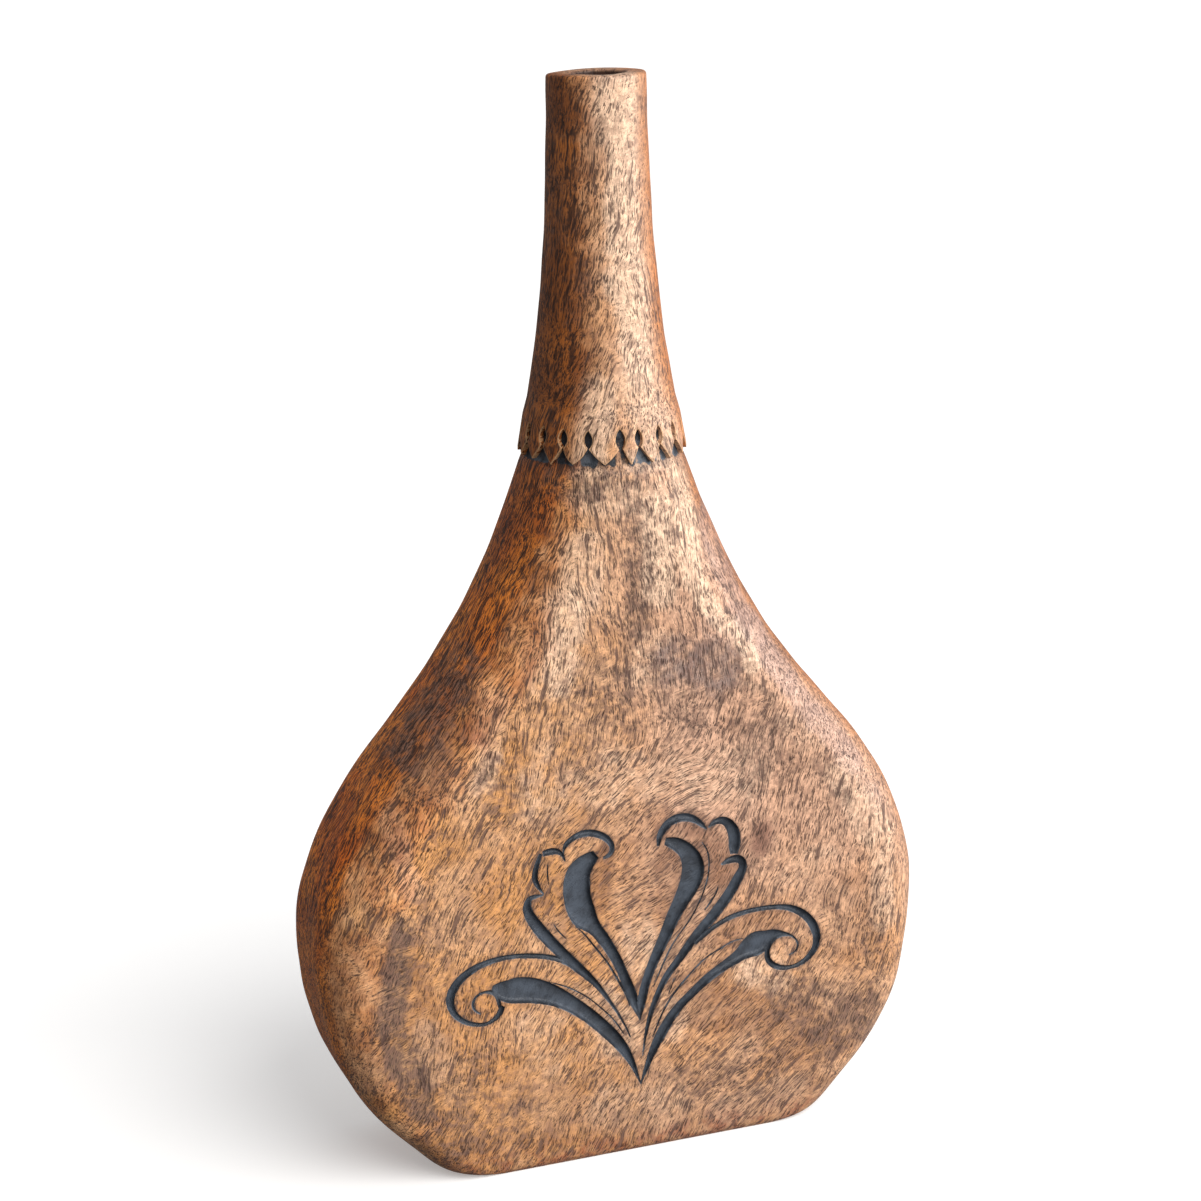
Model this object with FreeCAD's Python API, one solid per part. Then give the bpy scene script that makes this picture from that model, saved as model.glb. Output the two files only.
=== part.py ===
import FreeCAD, Part
import math
import os

# Carved wooden bottle vase, in millimetres.
# The origin is the middle of the base, +Z is up and the carved face looks along -Y.
# The flat body is two hollowed halves, glued on the plane y = 0 and kept in line by dowels.
# Their upper ends form a round spigot, and the turned neck is glued over it.

HEIGHT = 400.0
HALF_DEPTH = 31.0

# Body
SIDE_WALL = 14.0
FACE_WALL = 11.0
FLOOR_TOP = 16.0
INSIDE_CORNER = 6.0
FOOT_ROUND = 1.5
LEAST_FLAT = 0.1

# Horizontal sections of the body: height, half width, half depth, corner radius.
BODY_SECTIONS = [
    (0.0, 66.0, HALF_DEPTH - FOOT_ROUND, 12.0),
    (3.0, 76.5, HALF_DEPTH, 13.0),
    (10.0, 84.5, HALF_DEPTH, 13.0),
    (22.0, 96.0, HALF_DEPTH, 13.5),
    (45.0, 110.5, HALF_DEPTH, 14.0),
    (70.0, 117.0, HALF_DEPTH, 16.5),
    (95.0, 119.0, HALF_DEPTH, 19.5),
    (120.0, 113.5, HALF_DEPTH, 22.0),
    (145.0, 100.5, HALF_DEPTH, 23.5),
    (170.0, 81.0, HALF_DEPTH, 25.0),
    (195.0, 62.0, HALF_DEPTH, 26.0),
    (220.0, 48.0, HALF_DEPTH, 29.0),
    (245.0, 37.0, 30.8, 30.5),
    (262.0, 30.6, 30.6, 30.5),
]

# Round shoulder under the skirt, from where the body turns round to the neck's seat.
SHOULDER_START_Z = 262.0
SHOULDER_START_R = 30.6
RECESS_Z = 266.5
RECESS_R = 28.5
SEAT_Z = 286.0
SEAT_R = 25.4

# Spigot, socket and bore
SPIGOT_R = 17.0
SPIGOT_TOP = 308.0
BORE_R = 10.7
THROAT_R = 11.5
THROAT_Z = 272.0
SLIP = 0.1
END_GAP = 0.3

# Neck and its petal skirt
RIM_ROUND = 1.2
RIM_SIDE_Z = HEIGHT - RIM_ROUND
NECK_OUTLINE = [(26.8, 286.0), (22.9, 310.0), (19.9, 340.0), (18.3, 370.0), (17.6, RIM_SIDE_Z)]
SKIRT_BOTTOM = 267.5
SKIRT_BOTTOM_R = 30.7
SKIRT_LIP = 280.0
SKIRT_LIP_R = 28.5
PETALS = 20
FIRST_SLOT = 6.0
SLOT_TOP = 278.4
SLOT_WAIST = 272.7
SLOT_WIDTH = 3.2

# Dowels
DOWEL_R = 3.0
DOWEL_LENGTH = 20.0
DOWEL_PLACES = [(107.0, 75.0), (67.0, 180.0)]

# Carved ornament on the front face.
# Each cut is a list of stations along its middle line: x, z and the width of the cut there.
CUT_DEPTH = 2.2
DEPTH_PER_WIDTH = 0.6
WALL_SLOPE = 0.6
LEAST_FLOOR = 0.08
CUTTER_RISE = 1.0

LEFT_LEAF_GOUGE = [
    (-16.4, 122.3, 3.6), (-20.2, 119.6, 7.2), (-23.0, 116.4, 9.4), (-24.1, 111.5, 10.4),
    (-23.8, 106.0, 10.4), (-22.4, 101.0, 10.2), (-20.4, 97.2, 8.8), (-17.6, 93.6, 5.6),
    (-15.0, 90.0, 4.8), (-12.0, 85.2, 4.3), (-9.2, 79.8, 4.0), (-6.8, 74.2, 3.8),
    (-4.9, 69.2, 3.9), (-3.2, 64.6, 3.8), (-1.9, 60.2, 3.2), (-0.9, 56.8, 1.8), (0.0, 53.6, 0.4),
]
RIGHT_LEAF_GOUGE = [
    (10.8, 123.4, 2.8), (14.2, 122.2, 4.6), (17.9, 119.6, 5.8), (20.6, 116.0, 7.4),
    (21.9, 111.6, 8.8), (21.3, 107.0, 8.9), (19.2, 102.4, 7.8), (16.8, 98.2, 6.6),
    (14.2, 93.6, 5.8), (11.7, 88.4, 5.2), (9.3, 83.4, 4.7), (6.9, 78.4, 4.3), (4.7, 73.4, 3.9),
    (2.9, 68.8, 3.7), (1.5, 64.4, 3.6), (0.7, 60.2, 3.2), (0.2, 56.8, 1.9), (0.0, 53.4, 0.4),
]
LEFT_LEAF_TOP = [
    (-29.0, 124.6, 0.5), (-28.1, 127.4, 1.7), (-25.2, 129.8, 2.3), (-21.0, 131.0, 2.7),
    (-17.0, 130.5, 2.7), (-13.6, 128.9, 2.6), (-11.0, 126.5, 2.3), (-10.0, 123.7, 1.9),
    (-11.1, 121.5, 1.6), (-13.6, 120.4, 1.1),
]
LEFT_LEAF_LOBE = [
    (-28.4, 121.4, 0.5), (-29.3, 123.9, 1.3), (-31.3, 125.6, 2.2), (-34.2, 126.0, 2.6),
    (-36.9, 125.5, 2.2),
]
LEFT_LEAF_SIDE = [
    (-37.6, 125.8, 1.4), (-39.1, 121.6, 2.0), (-40.0, 117.6, 2.3), (-39.7, 114.8, 2.0),
    (-38.4, 112.2, 1.3), (-36.8, 109.8, 0.5),
]
LEFT_LEAF_EDGE = [
    (-36.9, 109.6, 0.6), (-39.6, 109.4, 1.5), (-42.2, 108.7, 2.3), (-43.3, 106.0, 3.2),
    (-42.7, 103.0, 3.8), (-41.0, 99.6, 4.3), (-38.4, 95.7, 4.6), (-35.0, 91.2, 4.5),
    (-31.0, 86.3, 4.3), (-26.6, 81.4, 4.0), (-22.4, 76.9, 3.4), (-18.4, 72.4, 2.6),
    (-15.2, 68.2, 2.0), (-12.6, 64.2, 1.5), (-10.2, 60.3, 1.1), (-8.0, 56.3, 0.9),
    (-5.8, 51.8, 0.7), (-3.8, 46.8, 0.4),
]
RIGHT_LEAF_TOP = [
    (8.1, 121.9, 1.0), (8.6, 125.2, 2.3), (10.4, 128.4, 3.1), (13.5, 130.9, 3.3),
    (17.2, 131.7, 3.3), (21.0, 131.0, 2.9), (24.0, 129.2, 2.3), (26.2, 127.1, 1.5),
    (27.6, 125.6, 0.5),
]
RIGHT_LEAF_LOBE = [
    (28.2, 126.2, 0.5), (30.6, 127.8, 2.2), (33.7, 128.2, 2.9), (36.3, 126.5, 3.7),
    (38.1, 123.5, 4.5), (38.8, 119.8, 4.8), (38.7, 116.4, 4.2), (38.5, 114.2, 3.0),
]
RIGHT_LEAF_EDGE = [
    (33.2, 110.8, 0.6), (35.4, 111.6, 2.0), (38.3, 112.2, 2.9), (40.9, 111.6, 3.0),
    (42.0, 108.9, 3.3), (40.4, 105.0, 4.2), (38.2, 101.2, 4.5), (35.5, 97.3, 4.6),
    (32.2, 93.3, 4.6), (28.6, 89.5, 4.4), (24.2, 85.2, 4.2), (19.7, 80.2, 3.7),
    (15.6, 74.9, 3.3), (11.5, 70.0, 2.9), (8.4, 65.0, 2.6), (6.0, 60.0, 2.3), (4.2, 55.0, 1.9),
    (2.9, 50.0, 1.5), (1.8, 44.6, 0.9), (1.0, 38.6, 0.4),
]
LEFT_SCROLL_GOUGE = [
    (-57.6, 76.2, 1.8), (-55.0, 75.4, 5.8), (-52.0, 74.3, 8.8), (-47.5, 73.7, 10.2),
    (-42.8, 72.8, 9.9), (-38.0, 71.1, 9.0), (-33.4, 68.8, 7.8), (-28.8, 65.8, 6.7),
    (-24.2, 62.2, 5.9), (-19.4, 57.9, 5.5), (-14.9, 53.2, 5.4), (-10.8, 48.5, 5.1),
    (-7.6, 44.2, 4.4), (-5.0, 39.8, 3.4), (-2.9, 35.3, 2.2), (-1.3, 31.0, 1.2), (0.0, 27.2, 0.4),
]
LEFT_SCROLL_LINE = [
    (-24.2, 78.0, 1.6), (-28.5, 81.4, 2.0), (-33.0, 83.9, 2.0), (-38.2, 85.6, 2.0),
    (-44.0, 86.8, 2.0), (-50.0, 87.4, 1.9), (-55.5, 87.2, 2.1), (-60.5, 86.3, 2.4),
    (-65.2, 84.6, 2.9), (-69.2, 82.0, 3.3), (-72.2, 78.6, 3.5), (-73.6, 74.6, 3.3),
    (-73.1, 70.5, 2.7), (-71.0, 67.0, 2.2), (-68.0, 64.5, 1.9), (-64.4, 63.0, 1.6),
    (-60.6, 62.5, 1.4), (-57.3, 63.7, 1.8), (-55.0, 65.9, 2.2), (-54.0, 68.6, 2.4),
]
LEFT_SCROLL_CURL = [
    (-62.3, 66.9, 0.5), (-64.3, 68.6, 0.9), (-65.0, 71.2, 1.1), (-63.8, 73.7, 1.0),
    (-61.2, 75.0, 1.0), (-58.4, 74.8, 1.4), (-56.1, 73.1, 1.6), (-55.2, 70.6, 1.6),
    (-55.0, 68.2, 1.2),
]
RIGHT_SCROLL_GOUGE = [
    (61.2, 69.8, 0.4), (63.7, 70.9, 0.6), (64.7, 73.3, 0.8), (63.7, 75.9, 0.8),
    (61.3, 77.8, 1.1), (58.3, 78.7, 2.4), (55.0, 78.8, 4.8), (51.2, 77.5, 8.2),
    (47.6, 76.5, 10.0), (44.6, 75.3, 8.8), (41.6, 73.6, 6.2), (38.4, 71.8, 4.9),
    (34.6, 69.9, 4.2), (30.4, 67.7, 3.9), (25.4, 64.2, 3.8), (20.2, 59.9, 3.6), (15.0, 55.2, 3.9),
    (10.5, 49.4, 4.3), (7.0, 43.6, 4.0), (4.5, 38.6, 3.0), (2.7, 34.0, 2.1), (1.2, 30.4, 1.2),
    (0.0, 27.2, 0.4),
]
RIGHT_SCROLL_LINE = [
    (22.4, 80.7, 1.5), (26.0, 83.4, 1.9), (30.2, 86.0, 1.9), (35.0, 88.2, 2.0),
    (40.0, 89.6, 2.0), (46.0, 90.4, 1.9), (52.0, 90.5, 1.9), (57.2, 90.0, 2.1),
    (62.0, 88.6, 2.6), (66.3, 86.1, 3.0), (69.8, 82.5, 3.3), (72.0, 78.4, 3.4),
    (72.7, 74.4, 3.1), (71.8, 70.7, 2.8), (69.4, 67.6, 2.5), (66.0, 65.4, 2.0),
    (62.0, 64.5, 1.7), (58.0, 64.9, 2.0), (54.6, 66.6, 2.3), (52.5, 69.3, 2.3),
    (52.1, 72.4, 2.1), (53.0, 75.2, 2.0), (54.8, 77.4, 1.6),
]
CUTS = [
    LEFT_LEAF_GOUGE, LEFT_LEAF_TOP, LEFT_LEAF_LOBE, LEFT_LEAF_SIDE, LEFT_LEAF_EDGE,
    RIGHT_LEAF_GOUGE, RIGHT_LEAF_TOP, RIGHT_LEAF_LOBE, RIGHT_LEAF_EDGE,
    LEFT_SCROLL_GOUGE, LEFT_SCROLL_LINE, LEFT_SCROLL_CURL,
    RIGHT_SCROLL_GOUGE, RIGHT_SCROLL_LINE,
]

# Box much larger than the vase, for half spaces
FAR = 500.0
AXIS = FreeCAD.Vector(0, 0, 1)
ORIGIN = FreeCAD.Vector(0, 0, 0)


def rounded_rectangle(z, half_width, half_depth, radius):
    """Closed wire of four sides and four corner arcs, centred on the Z axis at height z."""
    radius = min(radius, half_width - LEAST_FLAT, half_depth - LEAST_FLAT)
    flat_x = half_width - radius
    flat_y = half_depth - radius
    edges = []
    for quarter in range(4):
        start = math.pi / 2 * quarter
        sign_x = 1 if quarter in (0, 3) else -1
        sign_y = 1 if quarter in (0, 1) else -1
        centre = FreeCAD.Vector(sign_x * flat_x, sign_y * flat_y, z)
        corner = Part.Circle(centre, AXIS, radius)
        arc = Part.Arc(corner, start, start + math.pi / 2).toShape()
        if edges:
            edges.append(Part.makeLine(edges[-1].Vertexes[-1].Point, arc.Vertexes[0].Point))
        edges.append(arc)
    edges.append(Part.makeLine(edges[-1].Vertexes[-1].Point, edges[0].Vertexes[0].Point))
    return Part.Wire(edges)


def body_envelope():
    """Solid outer shape of the whole body, without its spigot."""
    belly = Part.makeLoft([rounded_rectangle(*section) for section in BODY_SECTIONS], True, False)
    rings = [
        (SHOULDER_START_Z, SHOULDER_START_R),
        (RECESS_Z, RECESS_R),
        (SEAT_Z, SEAT_R),
    ]
    shoulder_wires = [rounded_rectangle(z, r, r, r) for z, r in rings]
    shoulder = Part.makeLoft(shoulder_wires, True, True)
    return belly.fuse(shoulder)


def body_cavity():
    """Hollow of the body: a smaller copy of the belly, then a throat that narrows to the bore."""
    inner = []
    for z, half_width, half_depth, radius in BODY_SECTIONS:
        if z > FLOOR_TOP + FACE_WALL:
            depth = half_depth - FACE_WALL
            corner = max(radius - FACE_WALL, INSIDE_CORNER)
            inner.append((z, half_width - SIDE_WALL, depth, corner))
    lowest = inner[0]
    floor_width = lowest[1] - SIDE_WALL
    inner.insert(0, (FLOOR_TOP, floor_width, lowest[2] - INSIDE_CORNER, INSIDE_CORNER))
    belly = Part.makeLoft([rounded_rectangle(*section) for section in inner], True, False)
    top_r = inner[-1][1]
    throat = Part.makeCone(top_r, THROAT_R, THROAT_Z - SHOULDER_START_Z)
    throat.translate(FreeCAD.Vector(0, 0, SHOULDER_START_Z))
    bore = Part.makeCylinder(THROAT_R, SPIGOT_TOP - THROAT_Z)
    bore.translate(FreeCAD.Vector(0, 0, THROAT_Z))
    return belly.fuse([throat, bore])


def carved_cut(stations):
    """Solid that removes one cut: sloping walls and a floor, lofted along its middle line."""
    points = [FreeCAD.Vector(x, 0, z) for x, z, width in stations]
    middle = Part.BSplineCurve()
    middle.interpolate(points)
    wires = []
    for point, (x, z, width) in zip(points, stations):
        along = FreeCAD.Vector(*middle.tangent(middle.parameter(point))[0])
        across = along.cross(FreeCAD.Vector(0, 1, 0)).normalize()
        depth = min(CUT_DEPTH, DEPTH_PER_WIDTH * width)
        floor = max(width / 2 - depth * WALL_SLOPE, LEAST_FLOOR * width)
        rise = CUTTER_RISE * (width / 2 - floor) / depth
        top = width / 2 + rise
        outside = FreeCAD.Vector(x, -HALF_DEPTH - CUTTER_RISE, z)
        inside = FreeCAD.Vector(x, -HALF_DEPTH + depth, z)
        corners = [
            outside + across * top,
            outside - across * top,
            inside - across * floor,
            inside + across * floor,
        ]
        wires.append(Part.makePolygon(corners + corners[:1]))
    return Part.makeLoft(wires, True, False)


def dowel_solids(radius, length):
    """Four pins across the glue plane, two on each side of the body."""
    pins = []
    for side in (-1, 1):
        for x, z in DOWEL_PLACES:
            start = FreeCAD.Vector(side * x, -length / 2, z)
            pins.append(Part.makeCylinder(radius, length, start, FreeCAD.Vector(0, 1, 0)))
    return pins


def hollow_body():
    """Whole hollow body with its spigot and its dowel holes, before it is split."""
    spigot = Part.makeCylinder(SPIGOT_R, SPIGOT_TOP - SEAT_Z)
    spigot.translate(FreeCAD.Vector(0, 0, SEAT_Z))
    solid = body_envelope().fuse(spigot)
    holes = dowel_solids(DOWEL_R + SLIP, DOWEL_LENGTH + 2 * END_GAP)
    return solid.cut([body_cavity()] + holes)


def half_space(side):
    """Large box on one side of the glue plane: side -1 is the front, +1 the back."""
    corner_y = 0 if side > 0 else -FAR
    return Part.makeBox(2 * FAR, FAR, 2 * FAR, FreeCAD.Vector(-FAR, corner_y, -FAR))


def body_front_half(body):
    """Front half with the carved ornament."""
    front = body.common(half_space(-1))
    return front.cut([carved_cut(stations) for stations in CUTS])


def body_back_half(body):
    """Plain back half."""
    return body.common(half_space(1))


def leaf_slot():
    """Pointed leaf-shaped slot through the skirt, at the front, closing at the petals' waist."""
    y = -SKIRT_BOTTOM_R - 3
    middle_z = (SLOT_TOP + SLOT_WAIST) / 2
    foot = FreeCAD.Vector(0, y, SLOT_WAIST)
    tip = FreeCAD.Vector(0, y, SLOT_TOP)
    right = Part.Arc(foot, FreeCAD.Vector(SLOT_WIDTH / 2, y, middle_z), tip).toShape()
    left = Part.Arc(tip, FreeCAD.Vector(-SLOT_WIDTH / 2, y, middle_z), foot).toShape()
    face = Part.Face(Part.Wire([right, left]))
    return face.extrude(FreeCAD.Vector(0, -y - SPIGOT_R - 3, 0))


def petal_gap():
    """Triangle between two petal tips, at the front, with its point at the petals' waist."""
    y = -SKIRT_BOTTOM_R - 3
    half_pitch = SKIRT_BOTTOM_R * math.sin(math.pi / PETALS)
    below = SKIRT_BOTTOM - 1
    widen = (SLOT_WAIST - below) / (SLOT_WAIST - SKIRT_BOTTOM)
    corners = [
        FreeCAD.Vector(0, y, SLOT_WAIST + 0.3),
        FreeCAD.Vector(half_pitch * widen, y, below),
        FreeCAD.Vector(-half_pitch * widen, y, below),
    ]
    face = Part.Face(Part.makePolygon(corners + corners[:1]))
    return face.extrude(FreeCAD.Vector(0, -y - SPIGOT_R - 3, 0))


def neck():
    """Turned neck with its mouth bore, its socket and the petal skirt that covers the joint."""
    outline = [FreeCAD.Vector(r, 0, z) for r, z in NECK_OUTLINE]
    side = Part.BSplineCurve()
    side.interpolate(outline)
    side_top = outline[-1]
    rim_outside = FreeCAD.Vector(side_top.x - RIM_ROUND, 0, HEIGHT)
    rim_corner_r = side_top.x - RIM_ROUND * (1 - math.sqrt(0.5))
    rim_corner_z = HEIGHT - RIM_ROUND * (1 - math.sqrt(0.5))
    rim_corner = FreeCAD.Vector(rim_corner_r, 0, rim_corner_z)
    slope = (RECESS_R - SEAT_R) / (SEAT_Z - RECESS_Z)
    skirt_inner = RECESS_R - slope * (SKIRT_BOTTOM - RECESS_Z) + 2 * SLIP
    run = [
        FreeCAD.Vector(BORE_R + RIM_ROUND, 0, HEIGHT),
        FreeCAD.Vector(BORE_R, 0, HEIGHT - RIM_ROUND),
        FreeCAD.Vector(BORE_R, 0, SPIGOT_TOP + END_GAP),
        FreeCAD.Vector(SPIGOT_R + SLIP, 0, SPIGOT_TOP + END_GAP),
        FreeCAD.Vector(SPIGOT_R + SLIP, 0, SEAT_Z),
        FreeCAD.Vector(SEAT_R + 2 * SLIP, 0, SEAT_Z),
        FreeCAD.Vector(skirt_inner, 0, SKIRT_BOTTOM),
        FreeCAD.Vector(SKIRT_BOTTOM_R, 0, SKIRT_BOTTOM),
        FreeCAD.Vector(SKIRT_LIP_R, 0, SKIRT_LIP),
        outline[0],
    ]
    edges = [Part.makeLine(a, b) for a, b in zip(run, run[1:])]
    edges.append(side.toShape())
    edges.append(Part.Arc(side_top, rim_corner, rim_outside).toShape())
    edges.append(Part.makeLine(rim_outside, run[0]))
    solid = Part.Face(Part.Wire(edges)).revolve(ORIGIN, AXIS, 360)
    solid = Part.Solid(solid) if solid.ShapeType == "Shell" else solid
    cutters = []
    for index in range(PETALS):
        for shape in (leaf_slot(), petal_gap()):
            shape.rotate(ORIGIN, AXIS, FIRST_SLOT + 360.0 / PETALS * index)
            cutters.append(shape)
    return solid.cut(cutters)


def main():
    os.makedirs("parts", exist_ok=True)
    body = hollow_body()
    nodes = {
        "body_front_half": body_front_half(body),
        "body_back_half": body_back_half(body),
        "neck": neck(),
        "alignment_dowels": Part.makeCompound(dowel_solids(DOWEL_R, DOWEL_LENGTH)),
    }
    for name, shape in nodes.items():
        solids = len(shape.Solids)
        print(name, "valid" if shape.isValid() else "INVALID", solids, round(shape.Volume / 1000, 1))
        shape.exportStep("parts/" + name + ".step")


main()
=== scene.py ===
import math

import bmesh
import bpy
import numpy as np
from mathutils import Matrix, Vector
from mathutils.geometry import delaunay_2d_cdt


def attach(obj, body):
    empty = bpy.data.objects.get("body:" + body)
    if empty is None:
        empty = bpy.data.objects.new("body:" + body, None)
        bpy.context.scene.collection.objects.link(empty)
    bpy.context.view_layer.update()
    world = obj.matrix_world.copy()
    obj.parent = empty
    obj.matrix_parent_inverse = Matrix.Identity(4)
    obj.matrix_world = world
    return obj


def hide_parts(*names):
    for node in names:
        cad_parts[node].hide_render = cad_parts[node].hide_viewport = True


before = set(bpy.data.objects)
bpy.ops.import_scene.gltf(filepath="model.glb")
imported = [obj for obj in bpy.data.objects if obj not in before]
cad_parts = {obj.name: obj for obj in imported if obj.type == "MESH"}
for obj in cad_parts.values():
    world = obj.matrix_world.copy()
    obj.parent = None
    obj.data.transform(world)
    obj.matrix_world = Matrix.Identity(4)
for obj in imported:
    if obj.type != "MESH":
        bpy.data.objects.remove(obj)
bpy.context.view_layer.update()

# Carved wooden bottle vase: looks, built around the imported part. Geometry is worked out in
# millimetres, in the part's own frame, and turned into metres when a mesh is made.

MM = 0.001

# ---------------------------------------------------------------- dimensions of the part
HEIGHT = 400.0
FACE_Y = -31.0
SIDE_WALL = 14.0
FACE_WALL = 11.0
FLOOR_TOP = 16.0
INSIDE_CORNER = 6.0

# Horizontal sections of the body: height, half width, half depth, corner radius.
BODY_SECTIONS = [
    (0.0, 66.0, 29.5, 12.0), (3.0, 76.5, 31.0, 13.0), (10.0, 84.5, 31.0, 13.0),
    (22.0, 96.0, 31.0, 13.5), (45.0, 110.5, 31.0, 14.0), (70.0, 117.0, 31.0, 16.5),
    (95.0, 119.0, 31.0, 19.5), (120.0, 113.5, 31.0, 22.0), (145.0, 100.5, 31.0, 23.5),
    (170.0, 81.0, 31.0, 25.0), (195.0, 62.0, 31.0, 26.0), (220.0, 48.0, 31.0, 29.0),
    (245.0, 37.0, 30.8, 30.5), (262.0, 30.6, 30.6, 30.6),
]
# Round shoulder under the skirt, then the spigot and the bore: height, radius.
SHOULDER = [(264.0, 29.8), (266.5, 28.5), (276.0, 27.0), (286.0, 25.4)]
SPIGOT = [(286.0, 17.0), (308.0, 17.0), (308.0, 11.5), (290.0, 11.5), (272.0, 11.5)]
THROAT_END = (262.0, 16.6)

BORE_R = 10.7
SOCKET_R = 17.1
SOCKET_TOP = 308.3
SEAT_Z = 286.0
SEAT_INNER_R = 25.6
NECK_OUTLINE = [(26.8, 286.0), (22.9, 310.0), (19.9, 340.0), (18.3, 370.0), (17.6, 398.8)]
SKIRT_BOTTOM = 267.5
SKIRT_BOTTOM_R = 30.7
SKIRT_INNER_R = 28.54
SKIRT_LIP = 280.0
SKIRT_LIP_R = 28.5
SKIRT_JOIN_Z = 283.5
PETALS = 20
FIRST_SLOT = 6.0

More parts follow.
